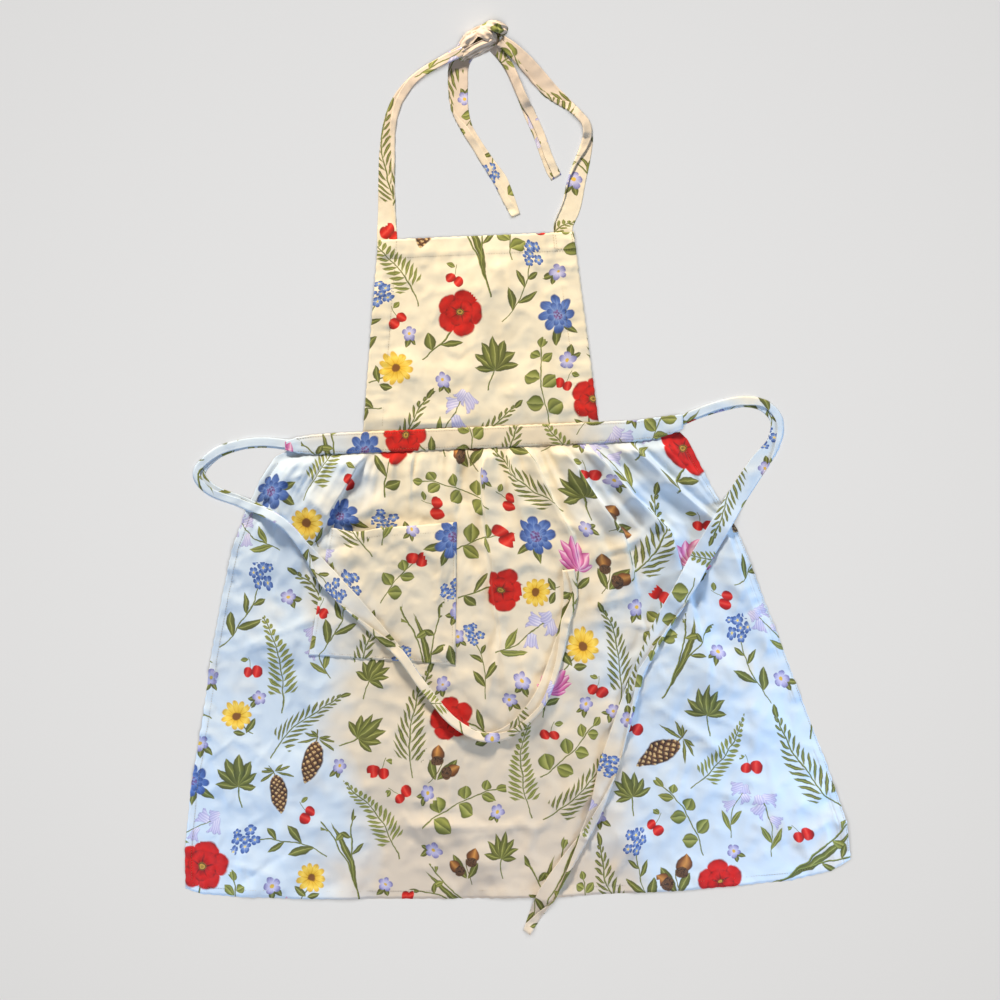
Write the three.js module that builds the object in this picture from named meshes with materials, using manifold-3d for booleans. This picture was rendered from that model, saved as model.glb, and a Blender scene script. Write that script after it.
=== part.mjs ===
import * as THREE from 'three'
import { mergeVertices } from 'three/addons/utils/BufferGeometryUtils.js'
import Module from 'manifold-3d'

// Bib apron of printed cotton lying flat on a surface, in millimetres, +Z up and +Y towards the neck.
// The origin is on the surface, under the waistband, on the centre line of the bib.

// Cloth thicknesses and the gap between pieces that touch
const cloth = 1.2
const hemmed = 1.9
const tape = 1.6
const clearance = 0.3

// Bib
const bibTopWidth = 235
const bibBottomWidth = 283
const bibHeight = 229
const bibHem = 24
const bibOffset = -1.5
const bibLean = 3.7
const bibSwellHeight = 4

// Waistband, whose two lips cover the lower edge of the bib and the gathered edge of the skirt
const bandLength = 478
const bandHeight = 25.5
const seamWidth = 8
const bandOffset = 2
const bandEndGap = 2

// Skirt
const skirtLength = 542
const skirtTopWidth = 496
const skirtOffset = -2
const leftFlare = 129
const rightFlare = 174
const hemRise = 36
const skirtHem = 11
const pleatWidth = 20
const pleatHeight = 8
const pleatRise = 14
const fanDepth = 0.2
const skirtSwellHeight = 8

// Pocket
const pocketMouthWidth = 152
const pocketBottomWidth = 175
const pocketDepth = 162
const pocketHem = 12
const pocketBag = 9
const mouthSag = 7
const pocketRight = -35
const pocketTop = -100
const pocketSlant = 19
const pocketLean = -9

// Ties
const neckTieWidth = 24
const neckRise = 236
const neckEndLeftLength = 223
const neckEndRightLength = 186
const waistTieWidth = 24
const leftTieLength = 852
const rightTieLength = 827
const tieTuck = 11

// Knot
const knotOffset = 18
const knotLength = 64
const knotWidth = 28
const knotHeight = 17
const knotTilt = 24

const bandHalf = bandHeight / 2
const bandThickness = hemmed + clearance + cloth
const tuckDepth = bandHalf - seamWidth / 2 - clearance
const bibTop = bandHalf + bibHeight

// The bib: low swells, placed in shares of its half width and of its height
const bibSwells = [
  { name: 'under the top hem', across: 0.25, up: 0.8, width: 0.5, length: 0.22, height: 1 },
  { name: 'centre crease', across: -0.05, up: 0.42, width: 0.16, length: 0.42, height: 0.5 },
  { name: 'low left', across: -0.5, up: 0.3, width: 0.42, length: 0.24, height: 0.7 },
  { name: 'low right', across: 0.5, up: 0.22, width: 0.42, length: 0.2, height: 0.8 },
]

// The waistband's outline: edges in shares of half its height, the right end rising into its tie
const bandOutline = [
  { along: 0, top: 0.38, bottom: -0.44 },
  { along: 0.03, top: 0.74, bottom: -0.74 },
  { along: 0.07, top: 0.92, bottom: -0.95 },
  { along: 0.13, top: 1, bottom: -1 },
  { along: 0.88, top: 1, bottom: -1 },
  { along: 0.93, top: 1.18, bottom: -0.86 },
  { along: 0.97, top: 1.3, bottom: -0.42 },
  { along: 1, top: 1.36, bottom: 0 },
]

// The skirt's side edges, in shares of its length and of each flare, and its hem, in shares of the rise
const skirtSides = [
  { down: -0.02, left: -0.2, right: -0.06 },
  { down: 0, left: 0, right: 0 },
  { down: 0.05, left: 0.15, right: 0.07 },
  { down: 0.12, left: 0.3, right: 0.17 },
  { down: 0.2, left: 0.43, right: 0.3 },
  { down: 0.3, left: 0.54, right: 0.41 },
  { down: 0.45, left: 0.68, right: 0.57 },
  { down: 0.6, left: 0.785, right: 0.715 },
  { down: 0.75, left: 0.915, right: 0.86 },
  { down: 0.9, left: 0.99, right: 0.98 },
  { down: 1, left: 1, right: 1 },
]
const hemLine = [
  { across: 0, rise: 0.8 },
  { across: 0.022, rise: 0.58 },
  { across: 0.07, rise: 0.45 },
  { across: 0.17, rise: 0.3 },
  { across: 0.35, rise: 0.11 },
  { across: 0.56, rise: 0 },
  { across: 0.74, rise: 0.03 },
  { across: 0.91, rise: 0.2 },
  { across: 0.97, rise: 0.48 },
  { across: 1, rise: 0.85 },
]

// Folds gathered into the waistband: place and fanning out in shares of the skirt's width,
// the widths of both slopes and the height in shares of a pleat's, the length of the skirt's
const skirtFolds = [
  { name: 'side crease', at: 0.09, fan: -0.02, left: 1.8, right: 1.5, height: 0.6, length: 0.17 },
  { name: 'pocket fold', at: 0.215, fan: -0.062, left: 3, right: 0.55, height: 1.1, length: 0.185 },
  { name: 'first tuck', at: 0.29, fan: 0.038, left: 0.4, right: 0.5, height: 0.4, length: 0.1 },
  { name: 'second tuck', at: 0.33, fan: 0.032, left: 0.4, right: 0.4, height: 0.4, length: 0.12 },
  { name: 'third tuck', at: 0.436, fan: 0.011, left: 0.5, right: 0.5, height: 0.45, length: 0.15 },
  { name: 'long pleat', at: 0.516, fan: 0, left: 0.6, right: 0.9, height: 1, length: 0.5 },
  { name: 'short pleat', at: 0.575, fan: 0.016, left: 0.5, right: 0.5, height: 0.4, length: 0.15 },
  { name: 'slant pleat', at: 0.61, fan: 0.06, left: 0.6, right: 0.5, height: 0.55, length: 0.2 },
  { name: 'steep pleat', at: 0.689, fan: 0.08, left: 0.9, right: 0.6, height: 1, length: 0.27 },
  { name: 'wide pleat', at: 0.75, fan: 0.11, left: 1, right: 0.8, height: 1.1, length: 0.34 },
  { name: 'soft fold', at: 0.85, fan: 0.12, left: 1.5, right: 1.5, height: 0.75, length: 0.28 },
]

// Low swells of the lower skirt, in shares of its width and length
const skirtSwells = [
  { name: 'left side', at: 0.08, down: 0.42, width: 0.1, length: 0.16, height: 0.5 },
  { name: 'right side', at: 0.84, down: 0.5, width: 0.13, length: 0.17, height: 0.6 },
  { name: 'under the right tie', at: 0.68, down: 0.66, width: 0.1, length: 0.12, height: 0.5 },
  { name: 'crease above the hem', at: 0.42, down: 0.84, width: 0.2, length: 0.05, height: 0.45 },
  { name: 'low left', at: 0.16, down: 0.78, width: 0.1, length: 0.1, height: 0.4 },
]

// The pocket's mouth, which sags open beside the fold
const mouthLine = [
  { across: 0, sag: 0 },
  { across: 0.1, sag: 0.6 },
  { across: 0.22, sag: 1 },
  { across: 0.4, sag: 0.45 },
  { across: 0.7, sag: 0.3 },
  { across: 1, sag: 0 },
]

// Routes of the neck ties: x in shares of half the space between them, y and lift in shares of the
// rise and height of the knot, then the share of the tape's width that shows and its turn in degrees
const neckLeftRoute = [
  { x: -1, y: 0, lift: 0, width: 1, turn: 0 },
  { x: -1, y: 0.04, lift: 0, width: 1, turn: 0 },
  { x: -1, y: 0.16, lift: 0, width: 0.86, turn: 0 },
  { x: -0.99, y: 0.3, lift: 0, width: 0.82, turn: 5 },
  { x: -0.972, y: 0.424, lift: 0, width: 0.8, turn: 10 },
  { x: -0.944, y: 0.546, lift: 0, width: 0.7, turn: 12 },
  { x: -0.9, y: 0.63, lift: 0, width: 0.64, turn: 15 },
  { x: -0.826, y: 0.706, lift: 0, width: 0.58, turn: 20 },
  { x: -0.688, y: 0.785, lift: 0, width: 0.52, turn: 20 },
  { x: -0.5, y: 0.849, lift: 0.08, width: 0.48, turn: 10 },
  { x: -0.3, y: 0.893, lift: 0.25, width: 0.5, turn: 0 },
  { x: -0.093, y: 0.937, lift: 0.38, width: 0.55, turn: 0 },
  { x: 0.07, y: 0.965, lift: 0.4, width: 0.5, turn: 0 },
]
const neckRightRoute = [
  { x: 1, y: 0, lift: 0, width: 0.95, turn: 0 },
  { x: 1, y: 0.04, lift: 0, width: 0.95, turn: 0 },
  { x: 1.1, y: 0.13, lift: 0, width: 0.95, turn: 0 },
  { x: 1.176, y: 0.262, lift: 0, width: 0.9, turn: 0 },
  { x: 1.234, y: 0.342, lift: 0, width: 0.8, turn: 15 },
  { x: 1.293, y: 0.423, lift: 0, width: 0.62, turn: 35 },
  { x: 1.323, y: 0.494, lift: 0, width: 0.5, turn: 60 },
  { x: 1.305, y: 0.549, lift: 0, width: 0.46, turn: 60 },
  { x: 1.23, y: 0.594, lift: 0, width: 0.46, turn: 45 },
  { x: 1.13, y: 0.64, lift: 0, width: 0.5, turn: 30 },
  { x: 1.049, y: 0.671, lift: 0, width: 0.64, turn: 10 },
  { x: 0.92, y: 0.722, lift: 0, width: 0.8, turn: 0 },
  { x: 0.79, y: 0.79, lift: 0.08, width: 0.85, turn: 0 },
  { x: 0.65, y: 0.866, lift: 0.25, width: 0.8, turn: 0 },
  { x: 0.5, y: 0.937, lift: 0.4, width: 0.7, turn: 0 },
  { x: 0.37, y: 0.985, lift: 0.42, width: 0.6, turn: 0 },
]

// Free ends below the knot: where each starts, in shares of the knot's length and width, and its
// route, with x and y in shares of the end's length
const neckEndStarts = [
  { name: 'neck_end_left', x: -0.21, y: -0.36 },
  { name: 'neck_end_right', x: 0.12, y: -0.06 },
]
const neckEndLeftRoute = [
  { x: 0, y: 0, lift: 0, width: 0.8, turn: 0 },
  { x: -0.06, y: -0.08, lift: 0, width: 1.05, turn: 0 },
  { x: -0.073, y: -0.2, lift: 0, width: 1.05, turn: 0 },
  { x: -0.067, y: -0.33, lift: 0, width: 0.85, turn: 10 },
  { x: -0.035, y: -0.43, lift: 0, width: 0.6, turn: 30 },
  { x: 0.025, y: -0.54, lift: 0, width: 0.6, turn: 20 },
  { x: 0.081, y: -0.634, lift: 0, width: 0.66, turn: 10 },
  { x: 0.132, y: -0.717, lift: 0, width: 0.72, turn: 0 },
  { x: 0.176, y: -0.827, lift: 0, width: 0.62, turn: 0 },
  { x: 0.21, y: -0.915, lift: 0, width: 0.3, turn: 0 },
]
const neckEndRightRoute = [
  { x: 0, y: 0, lift: 0, width: 0.5, turn: 0 },
  { x: 0.123, y: -0.161, lift: 0, width: 0.5, turn: 0 },
  { x: 0.205, y: -0.365, lift: 0, width: 0.45, turn: 30 },
  { x: 0.258, y: -0.496, lift: 0, width: 0.58, turn: 10 },
  { x: 0.31, y: -0.628, lift: 0, width: 0.58, turn: 10 },
  { x: 0.35, y: -0.759, lift: 0, width: 0.58, turn: 0 },
  { x: 0.385, y: -0.858, lift: 0, width: 0.6, turn: 0 },
  { x: 0.409, y: -0.904, lift: 0, width: 0.58, turn: 0 },
]

// Routes of the waist ties from the waistband's ends, in shares of each tie's length
const waistLeftRoute = [
  { x: 0, y: 0, width: 0.33, turn: 0 },
  { x: -0.045, y: 0.006, width: 0.34, turn: 0 },
  { x: -0.076, y: 0.004, width: 0.42, turn: 25 },
  { x: -0.112, y: -0.008, width: 0.55, turn: 45 },
  { x: -0.136, y: -0.034, width: 0.62, turn: 62 },
  { x: -0.122, y: -0.056, width: 0.6, turn: 35 },
  { x: -0.07, y: -0.08, width: 0.56, turn: 0 },
  { x: -0.02, y: -0.108, width: 0.45, turn: 40 },
  { x: 0.008, y: -0.143, width: 0.52, turn: 30 },
  { x: 0.039, y: -0.188, width: 1, turn: 0 },
  { x: 0.073, y: -0.226, width: 0.92, turn: 0 },
  { x: 0.11, y: -0.269, width: 0.66, turn: 15 },
  { x: 0.138, y: -0.302, width: 0.45, turn: 50 },
  { x: 0.168, y: -0.348, width: 0.42, turn: 60 },
  { x: 0.21, y: -0.4, width: 0.42, turn: 60 },
  { x: 0.25, y: -0.422, width: 0.45, turn: 60 },
  { x: 0.285, y: -0.415, width: 0.62, turn: 30 },
  { x: 0.326, y: -0.377, width: 0.75, turn: 0 },
  { x: 0.352, y: -0.325, width: 0.68, turn: 10 },
  { x: 0.371, y: -0.264, width: 0.5, turn: 45 },
  { x: 0.38, y: -0.225, width: 0.72, turn: 0 },
  { x: 0.378, y: -0.191, width: 0.6, turn: 0 },
]
const waistRightRoute = [
  { x: 0, y: 0, width: 0.33, turn: 0 },
  { x: 0.036, y: 0.014, width: 0.45, turn: 0 },
  { x: 0.073, y: 0.024, width: 0.55, turn: 10 },
  { x: 0.107, y: 0.028, width: 0.52, turn: 25 },
  { x: 0.134, y: 0.02, width: 0.6, turn: 45 },
  { x: 0.15, y: -0.002, width: 0.62, turn: 65 },
  { x: 0.144, y: -0.033, width: 0.7, turn: 45 },
  { x: 0.121, y: -0.063, width: 0.95, turn: 10 },
  { x: 0.066, y: -0.141, width: 1.02, turn: 0 },
  { x: 0.014, y: -0.223, width: 1.05, turn: 0 },
  { x: -0.038, y: -0.304, width: 0.8, turn: 15 },
  { x: -0.065, y: -0.355, width: 0.6, turn: 30 },
  { x: -0.086, y: -0.41, width: 0.8, turn: 10 },
  { x: -0.115, y: -0.49, width: 1, turn: 0 },
  { x: -0.137, y: -0.555, width: 0.65, turn: 25 },
  { x: -0.156, y: -0.594, width: 0.5, turn: 50 },
  { x: -0.182, y: -0.63, width: 0.75, turn: 10 },
  { x: -0.213, y: -0.674, width: 0.95, turn: 0 },
  { x: -0.244, y: -0.728, width: 0.4, turn: 0 },
]

// Lumps of the knot, in shares of its length, width and height
const knotLumps = [
  { name: 'middle wrap', x: 0.04, y: 0.1, long: 0.3, wide: 0.5, high: 0.5 },
  { name: 'lower left', x: -0.27, y: -0.08, long: 0.26, wide: 0.4, high: 0.42 },
  { name: 'upper right', x: 0.31, y: -0.02, long: 0.22, wide: 0.42, high: 0.46 },
]

// Table value at a place, along straight stretches between its rows
function lookUp(table, key, place, column) {
  const next = table.findIndex(row => row[key] >= place)
  if (next < 0) return table.at(-1)[column]
  if (next === 0) return table[0][column]
  const [low, high] = [table[next - 1], table[next]]
  return THREE.MathUtils.mapLinear(place, low[key], high[key], low[column], high[column])
}

// Value of a route's column at a share of its rows
function routeValue(route, column, share) {
  const place = share * (route.length - 1)
  const row = Math.min(Math.floor(place), route.length - 2)
  return THREE.MathUtils.lerp(route[row][column], route[row + 1][column], place - row)
}

// Rounded ridge, 1 at the crest and 0 from the foot on
function ridge(distance) {
  return distance >= 1 ? 0 : (1 + Math.cos(Math.PI * distance)) / 2
}

// Closed slab of cloth: a divided box, whose points go where place(across, along, face) says,
// with face 0 for the underside and 1 for the upper side
function slab(acrossStations, alongStations, place) {
  const columns = acrossStations.length - 1
  const rows = alongStations.length - 1
  const box = new THREE.BoxGeometry(columns, rows, 1, columns, rows, 1)
  box.deleteAttribute('normal')
  box.deleteAttribute('uv')
  const geometry = mergeVertices(box)
  const points = geometry.getAttribute('position')
  for (let index = 0; index < points.count; index += 1) {
    const column = Math.round(points.getX(index) + columns / 2)
    const row = Math.round(points.getY(index) + rows / 2)
    const face = Math.round(points.getZ(index) + 0.5)
    const point = place(acrossStations[column], alongStations[row], face)
    points.setXYZ(index, point.x, point.y, point.z)
  }
  geometry.computeVertexNormals()
  return geometry
}

// Evenly spaced stations with others put in, sorted and kept apart by at least the given step
function stations(count, extra, step) {
  const chosen = [...extra]
  for (let index = 0; index <= count; index += 1) {
    const even = index / count
    if (extra.every(place => Math.abs(place - even) >= step)) chosen.push(even)
  }
  return chosen.sort((a, b) => a - b)
}

function bandEdge(x, column) {
  const along = (x - bandOffset) / bandLength + 0.5
  return bandHalf * lookUp(bandOutline, 'along', along, column)
}

function bandCentre(x) {
  return (bandEdge(x, 'top') + bandEdge(x, 'bottom')) / 2
}

// The bib, from the seam under the waistband's upper lip to its hemmed top edge
function makeBib() {
  const sideHem = 2 * bibHem / (bibTopWidth + bibBottomWidth)
  const topHem = bibHem / bibHeight
  const step = 0.006
  const swell = (across, up) => bibSwells.reduce((sum, bump) => {
    const distance = Math.hypot((across - bump.across) / bump.width, (up - bump.up) / bump.length)
    return sum + bump.height * bibSwellHeight * ridge(distance)
  }, 0)
  const columns = stations(12, [sideHem, sideHem + step, 1 - sideHem - step, 1 - sideHem], 0.03)
  const rows = stations(11, [1 - topHem - step, 1 - topHem], 0.03)
  return slab(columns, [-tuckDepth / bibHeight, ...rows], (across, up, face) => {
    const half = THREE.MathUtils.lerp(bibBottomWidth, bibTopWidth, up) / 2
    const folded = across <= sideHem || across >= 1 - sideHem || up >= 1 - topHem
    const side = 2 * across - 1
    const height = up > 0 ? swell(side, up) : 0
    return {
      x: side * half + bibOffset + bibLean * up,
      y: bandHalf + up * bibHeight,
      z: height + face * (folded ? hemmed : cloth),
    }
  })
}

// The waistband: a channel with its mouth down, solid along the seam between bib and skirt
function makeWaistband() {
  const core = seamWidth / bandHeight
  const lip = hemmed + clearance
  const section = [
    { upper: -1, under: -1, floor: lip },
    { upper: -0.6, under: -core, floor: lip },
    { upper: -0.2, under: -core, floor: 0 },
    { upper: 0.2, under: core, floor: 0 },
    { upper: 0.6, under: core, floor: lip },
    { upper: 1, under: 1, floor: lip },
  ]
  const coreEnd = (tieTuck + bandEndGap) / bandLength
  const lipEnd = coreEnd - clearance / bandLength
  const steps = [lipEnd, coreEnd, 1 - coreEnd, 1 - lipEnd]
  const columns = stations(19, [...bandOutline.map(row => row.along), ...steps], 0.012)
  return slab(columns, section, (along, row, face) => {
    const x = bandOffset + (along - 0.5) * bandLength
    const middle = bandCentre(x)
    const half = (bandEdge(x, 'top') - bandEdge(x, 'bottom')) / 2
    const overTie = along <= lipEnd || along >= 1 - lipEnd
    const seam = row.under * bandHalf
    const y = Math.abs(row.under) < 1 ? seam : row.under * half
    return face
      ? { x, y: middle + row.upper * half, z: bandThickness }
      : { x, y: middle + THREE.MathUtils.clamp(y, -half, half), z: overTie ? lip : row.floor }
  })
}

// The skirt's plan: x and y of a thread that leaves the waistband at a share of its width
function fanning(at) {
  const anchors = [{ at: 0, fan: 0 }, ...skirtFolds, { at: 1, fan: 0 }]
  return lookUp(anchors, 'at', at, 'fan')
}

function skirtEdge(down, side) {
  const flare = side === 'left' ? -leftFlare : rightFlare
  const start = skirtOffset + (side === 'left' ? -1 : 1) * skirtTopWidth / 2
  return start + flare * lookUp(skirtSides, 'down', down, side)
}

function skirtPlace(at, down) {
  const left = skirtEdge(down, 'left')
  const right = skirtEdge(down, 'right')
  const across = at + fanning(at) * THREE.MathUtils.clamp(down / fanDepth, 0, 1)
  const x = THREE.MathUtils.lerp(left, right, across)
  const rise = hemRise * lookUp(hemLine, 'across', across, 'rise') * Math.max(down, 0) ** 3
  const seam = bandCentre(x) - seamWidth / 2 - clearance
  return { x, y: down < 0 ? seam : -bandHalf - down * skirtLength + rise }
}

// Height of the skirt's underside over the surface, from its folds and swells
function skirtRelief(x, y) {
  const depth = -bandHalf - y
  const down = depth / skirtLength
  if (down <= 0) return 0
  const foldHeight = skirtFolds.reduce((sum, fold) => {
    const offset = x - skirtPlace(fold.at, down).x
    const slope = pleatWidth * (offset < 0 ? fold.left : fold.right)
    const fade = Math.max(0, 1 - (down / fold.length) ** 1.5)
    return sum + fold.height * pleatHeight * ridge(Math.abs(offset) / slope) * fade
  }, 0)
  const swellHeight = skirtSwells.reduce((sum, swell) => {
    const left = skirtEdge(down, 'left')
    const across = (x - left) / (skirtEdge(down, 'right') - left)
    const distance = Math.hypot((across - swell.at) / swell.width, (down - swell.down) / swell.length)
    return sum + swell.height * skirtSwellHeight * ridge(distance)
  }, 0)
  return foldHeight * Math.min(1, depth / pleatRise) + swellHeight
}

// Factor that keeps the cloth's thickness where it slopes
function slopeFactor(x, y) {
  const reach = 3
  const alongX = (skirtRelief(x + reach, y) - skirtRelief(x - reach, y)) / (2 * reach)
  const alongY = (skirtRelief(x, y + reach) - skirtRelief(x, y - reach)) / (2 * reach)
  return Math.hypot(1, alongX, alongY)
}

function makeSkirt() {
  const sideHem = 2 * skirtHem / (2 * skirtTopWidth + leftFlare + rightFlare)
  const lowHem = skirtHem / skirtLength
  const step = 0.003
  const crests = skirtFolds.flatMap(fold => {
    const [left, right] = [fold.left, fold.right].map(slope => slope * pleatWidth / skirtTopWidth)
    return [fold.at - left, fold.at - left / 2, fold.at, fold.at + right / 2, fold.at + right]
  })
  const hems = [0, sideHem, sideHem + step, 1 - sideHem - step, 1 - sideHem, 1]
  const seamEnds = ['left', 'right'].map(side => skirtEdge(-1, side))
  const bends = bandOutline.filter(row => row.along > 0.5 && row.along < 1).map(row => {
    const x = bandOffset + (row.along - 0.5) * bandLength
    return (x - seamEnds[0]) / (seamEnds[1] - seamEnds[0])
  })
  const kept = [...hems, ...bends, ...skirtFolds.map(fold => fold.at)]
  for (const place of crests) {
    if (kept.every(other => Math.abs(other - place) > 0.012)) kept.push(place)
  }
  const columns = stations(24, kept, 0.018)
  const rows = stations(22, [lowHem, lowHem + step], 0.018).map(share => 1 - share)
  const eased = rows.map(share => share < 1 - 2 * lowHem ? share ** 1.25 : share)
  return slab(columns, [...eased, -tuckDepth / skirtLength], (at, down, face) => {
    const { x, y } = skirtPlace(at, down)
    const folded = at <= sideHem || at >= 1 - sideHem || down >= 1 - lowHem
    const thickness = face * (folded ? hemmed : cloth)
    return { x, y, z: skirtRelief(x, y) + thickness * slopeFactor(x, y) }
  })
}

// Height of what lies at a place, seen from above, or 0 on the bare surface
function heightOver(meshes, x, y) {
  const above = 100
  const ray = new THREE.Raycaster(new THREE.Vector3(x, y, above), new THREE.Vector3(0, 0, -1))
  const hit = ray.intersectObjects(meshes)[0]
  return hit ? hit.point.z : 0
}

// The patch pocket, sewn down on three sides and bagged up towards its mouth
function makePocket(skirt) {
  const sideSeam = pocketHem / 2 / pocketBottomWidth
  const topHem = pocketHem / pocketDepth
  const step = 0.01
  const columns = stations(12, [sideSeam, 1 - sideSeam], 0.03)
  const rows = stations(10, [1 - topHem - step, 1 - topHem], 0.03)
  return slab(columns, rows, (across, up, face) => {
    const down = 1 - up
    const width = THREE.MathUtils.lerp(pocketMouthWidth, pocketBottomWidth, down)
    const sag = mouthSag * lookUp(mouthLine, 'across', across, 'sag') * up ** 3
    const x = pocketRight + pocketLean * down - (1 - across) * width
    const y = pocketTop - down * (pocketDepth + pocketSlant * (across - 0.5)) - sag
    const bag = pocketBag * (1 - Math.abs(2 * across - 1) ** 3) * (1 - down ** 2.2)
    const thickness = face * (up >= 1 - topHem ? hemmed : cloth)
    return { x, y, z: heightOver([skirt], x, y) + clearance + bag + thickness }
  })
}

// A tie: tape along a route, narrower and turned up on edge where it twists. ground(x, y) is the
// height it lies on, and grow makes it larger all round, as the cutter of its seat in the knot
function makeTie({ route, start, reach, width, steps, ground, grow = 0 }) {
  const curve = new THREE.CatmullRomCurve3(route.map(row => (
    new THREE.Vector3(start.x + row.x * reach.x, start.y + row.y * reach.y, 0)
  )), false, 'centripetal')
  const sectionAt = share => {
    const centre = curve.getPoint(share)
    const heading = curve.getTangent(share)
    const turn = THREE.MathUtils.degToRad(routeValue(route, 'turn', share))
    const side = new THREE.Vector3(heading.y, -heading.x, 0)
    const across = side.clone().multiplyScalar(Math.cos(turn)).setZ(Math.sin(turn))
    const upward = side.clone().multiplyScalar(-Math.sin(turn)).setZ(Math.cos(turn))
    const half = routeValue(route, 'width', share) * width / 2
    return { centre, heading, across, upward, half, rise: half * Math.sin(Math.abs(turn)) }
  }
  const groundUnder = share => {
    const { centre, across, upward, half } = sectionAt(share)
    const spread = Math.ceil(half / tape)
    let highest = 0
    for (let index = -spread; index <= spread; index += 1) {
      const point = centre.clone().addScaledVector(across, index / spread * half)
      const outer = point.clone().addScaledVector(upward, tape)
      highest = Math.max(highest, ground(point.x, point.y, share), ground(outer.x, outer.y, share))
    }
    return highest
  }
  const finer = 10
  const samples = Array.from({ length: steps * finer + 1 }, (_, index) => index / steps / finer)
  const grounds = samples.map(groundUnder)
  const shares = Array.from({ length: steps + 1 }, (_, index) => index / steps)
  return slab([-1, 0, 1], shares, (side, share, face) => {
    const { centre, heading, across, upward, half, rise } = sectionAt(share)
    const middle = Math.round(share * steps * finer)
    const lift = Math.max(...grounds.slice(Math.max(0, middle - finer), middle + finer + 1))
    const end = share === 0 ? -grow : share === 1 ? grow : 0
    return centre.clone()
      .addScaledVector(across, side * (half + grow))
      .addScaledVector(upward, face ? tape + grow : -grow)
      .addScaledVector(heading, end)
      .add(new THREE.Vector3(0, 0, lift + rise))
  })
}

function makeMesh(name, geometry, colour) {
  const material = new THREE.MeshStandardMaterial({ color: colour, roughness: 0.92, metalness: 0 })
  const mesh = new THREE.Mesh(geometry, material)
  mesh.name = name
  return mesh
}

// The four tapes that meet in the knot, as values for makeTie
const neckHalf = (bibTopWidth - neckTieWidth) / 2
const knotPlace = new THREE.Vector3(knotOffset, bibTop + neckRise, 0)
const liftOf = route => (x, y, share) => knotHeight * routeValue(route, 'lift', share)
const neckTie = route => ({
  route,
  start: { x: bibOffset + bibLean, y: bibTop + clearance },
  reach: { x: neckHalf, y: neckRise },
  width: neckTieWidth,
  steps: 28,
  ground: liftOf(route),
})
const neckEnd = (name, route, length) => {
  const begin = neckEndStarts.find(row => row.name === name)
  return {
    route,
    start: { x: knotPlace.x + begin.x * knotLength, y: knotPlace.y + begin.y * knotWidth },
    reach: { x: length, y: length },
    width: neckTieWidth,
    steps: 18,
    ground: liftOf(route),
  }
}
const neckTapes = {
  neck_tie_left: neckTie(neckLeftRoute),
  neck_tie_right: neckTie(neckRightRoute),
  neck_end_left: neckEnd('neck_end_left', neckEndLeftRoute, neckEndLeftLength),
  neck_end_right: neckEnd('neck_end_right', neckEndRightRoute, neckEndRightLength),
}

const wasm = await Module()
wasm.setup()

function toSolid(geometry) {
  const bare = geometry.clone()
  bare.deleteAttribute('normal')
  bare.deleteAttribute('uv')
  const merged = mergeVertices(bare)
  return new wasm.Manifold(new wasm.Mesh({
    numProp: 3,
    vertProperties: merged.getAttribute('position').array,
    triVerts: new Uint32Array(merged.getIndex().array),
  }))
}

// The knot: lumps of wrapped tape, seated round the tapes that run into it
function makeKnot() {
  const tilt = THREE.MathUtils.degToRad(knotTilt)
  const lumps = knotLumps.map(lump => {
    const [long, wide, high] = [lump.long * knotLength, lump.wide * knotWidth, lump.high * knotHeight]
    const ball = new THREE.SphereGeometry(1, 14, 9).scale(long, wide, high)
    ball.translate(lump.x * knotLength, lump.y * knotWidth, high)
    return toSolid(ball.rotateZ(tilt).translate(knotPlace.x, knotPlace.y, 0))
  })
  const whole = lumps.reduce((sum, lump) => sum.add(lump))
  const seats = Object.values(neckTapes).map(values => toSolid(makeTie({ ...values, grow: clearance })))
  const cut = seats.reduce((rest, seat) => rest.subtract(seat), whole)
  const mesh = cut.getMesh()
  const geometry = new THREE.BufferGeometry()
  geometry.setAttribute('position', new THREE.BufferAttribute(mesh.vertProperties, 3))
  geometry.setIndex(new THREE.BufferAttribute(mesh.triVerts, 1))
  geometry.computeVertexNormals()
  return geometry
}

const printed = '#f2e9cc'
const skirt = makeMesh('skirt', makeSkirt(), printed)
const pocket = makeMesh('pocket', makePocket(skirt), printed)

// A waist tie lies on the skirt and the pocket, and on the surface beyond them
const onCloth = (x, y) => {
  const height = heightOver([skirt, pocket], x, y)
  return height > 0 ? height + clearance : 0
}
const waistTie = (route, side, length) => {
  const x = bandOffset + side * (bandLength / 2 - tieTuck)
  return makeTie({
    route,
    start: { x, y: bandCentre(x) },
    reach: { x: length, y: length },
    width: waistTieWidth,
    steps: 52,
    ground: onCloth,
  })
}

const apron = new THREE.Group()
apron.add(
  makeMesh('bib', makeBib(), printed),
  makeMesh('waistband', makeWaistband(), printed),
  skirt,
  pocket,
  makeMesh('waist_tie_left', waistTie(waistLeftRoute, -1, leftTieLength), printed),
  makeMesh('waist_tie_right', waistTie(waistRightRoute, 1, rightTieLength), printed),
  makeMesh('neck_knot', makeKnot(), printed),
)
for (const [name, values] of Object.entries(neckTapes)) {
  apron.add(makeMesh(name, makeTie(values), printed))
}

export default apron
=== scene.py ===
import math
import random
from types import SimpleNamespace

import bmesh
import bpy
import numpy as np
from mathutils import Matrix, Vector, noise
from mathutils.bvhtree import BVHTree


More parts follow.
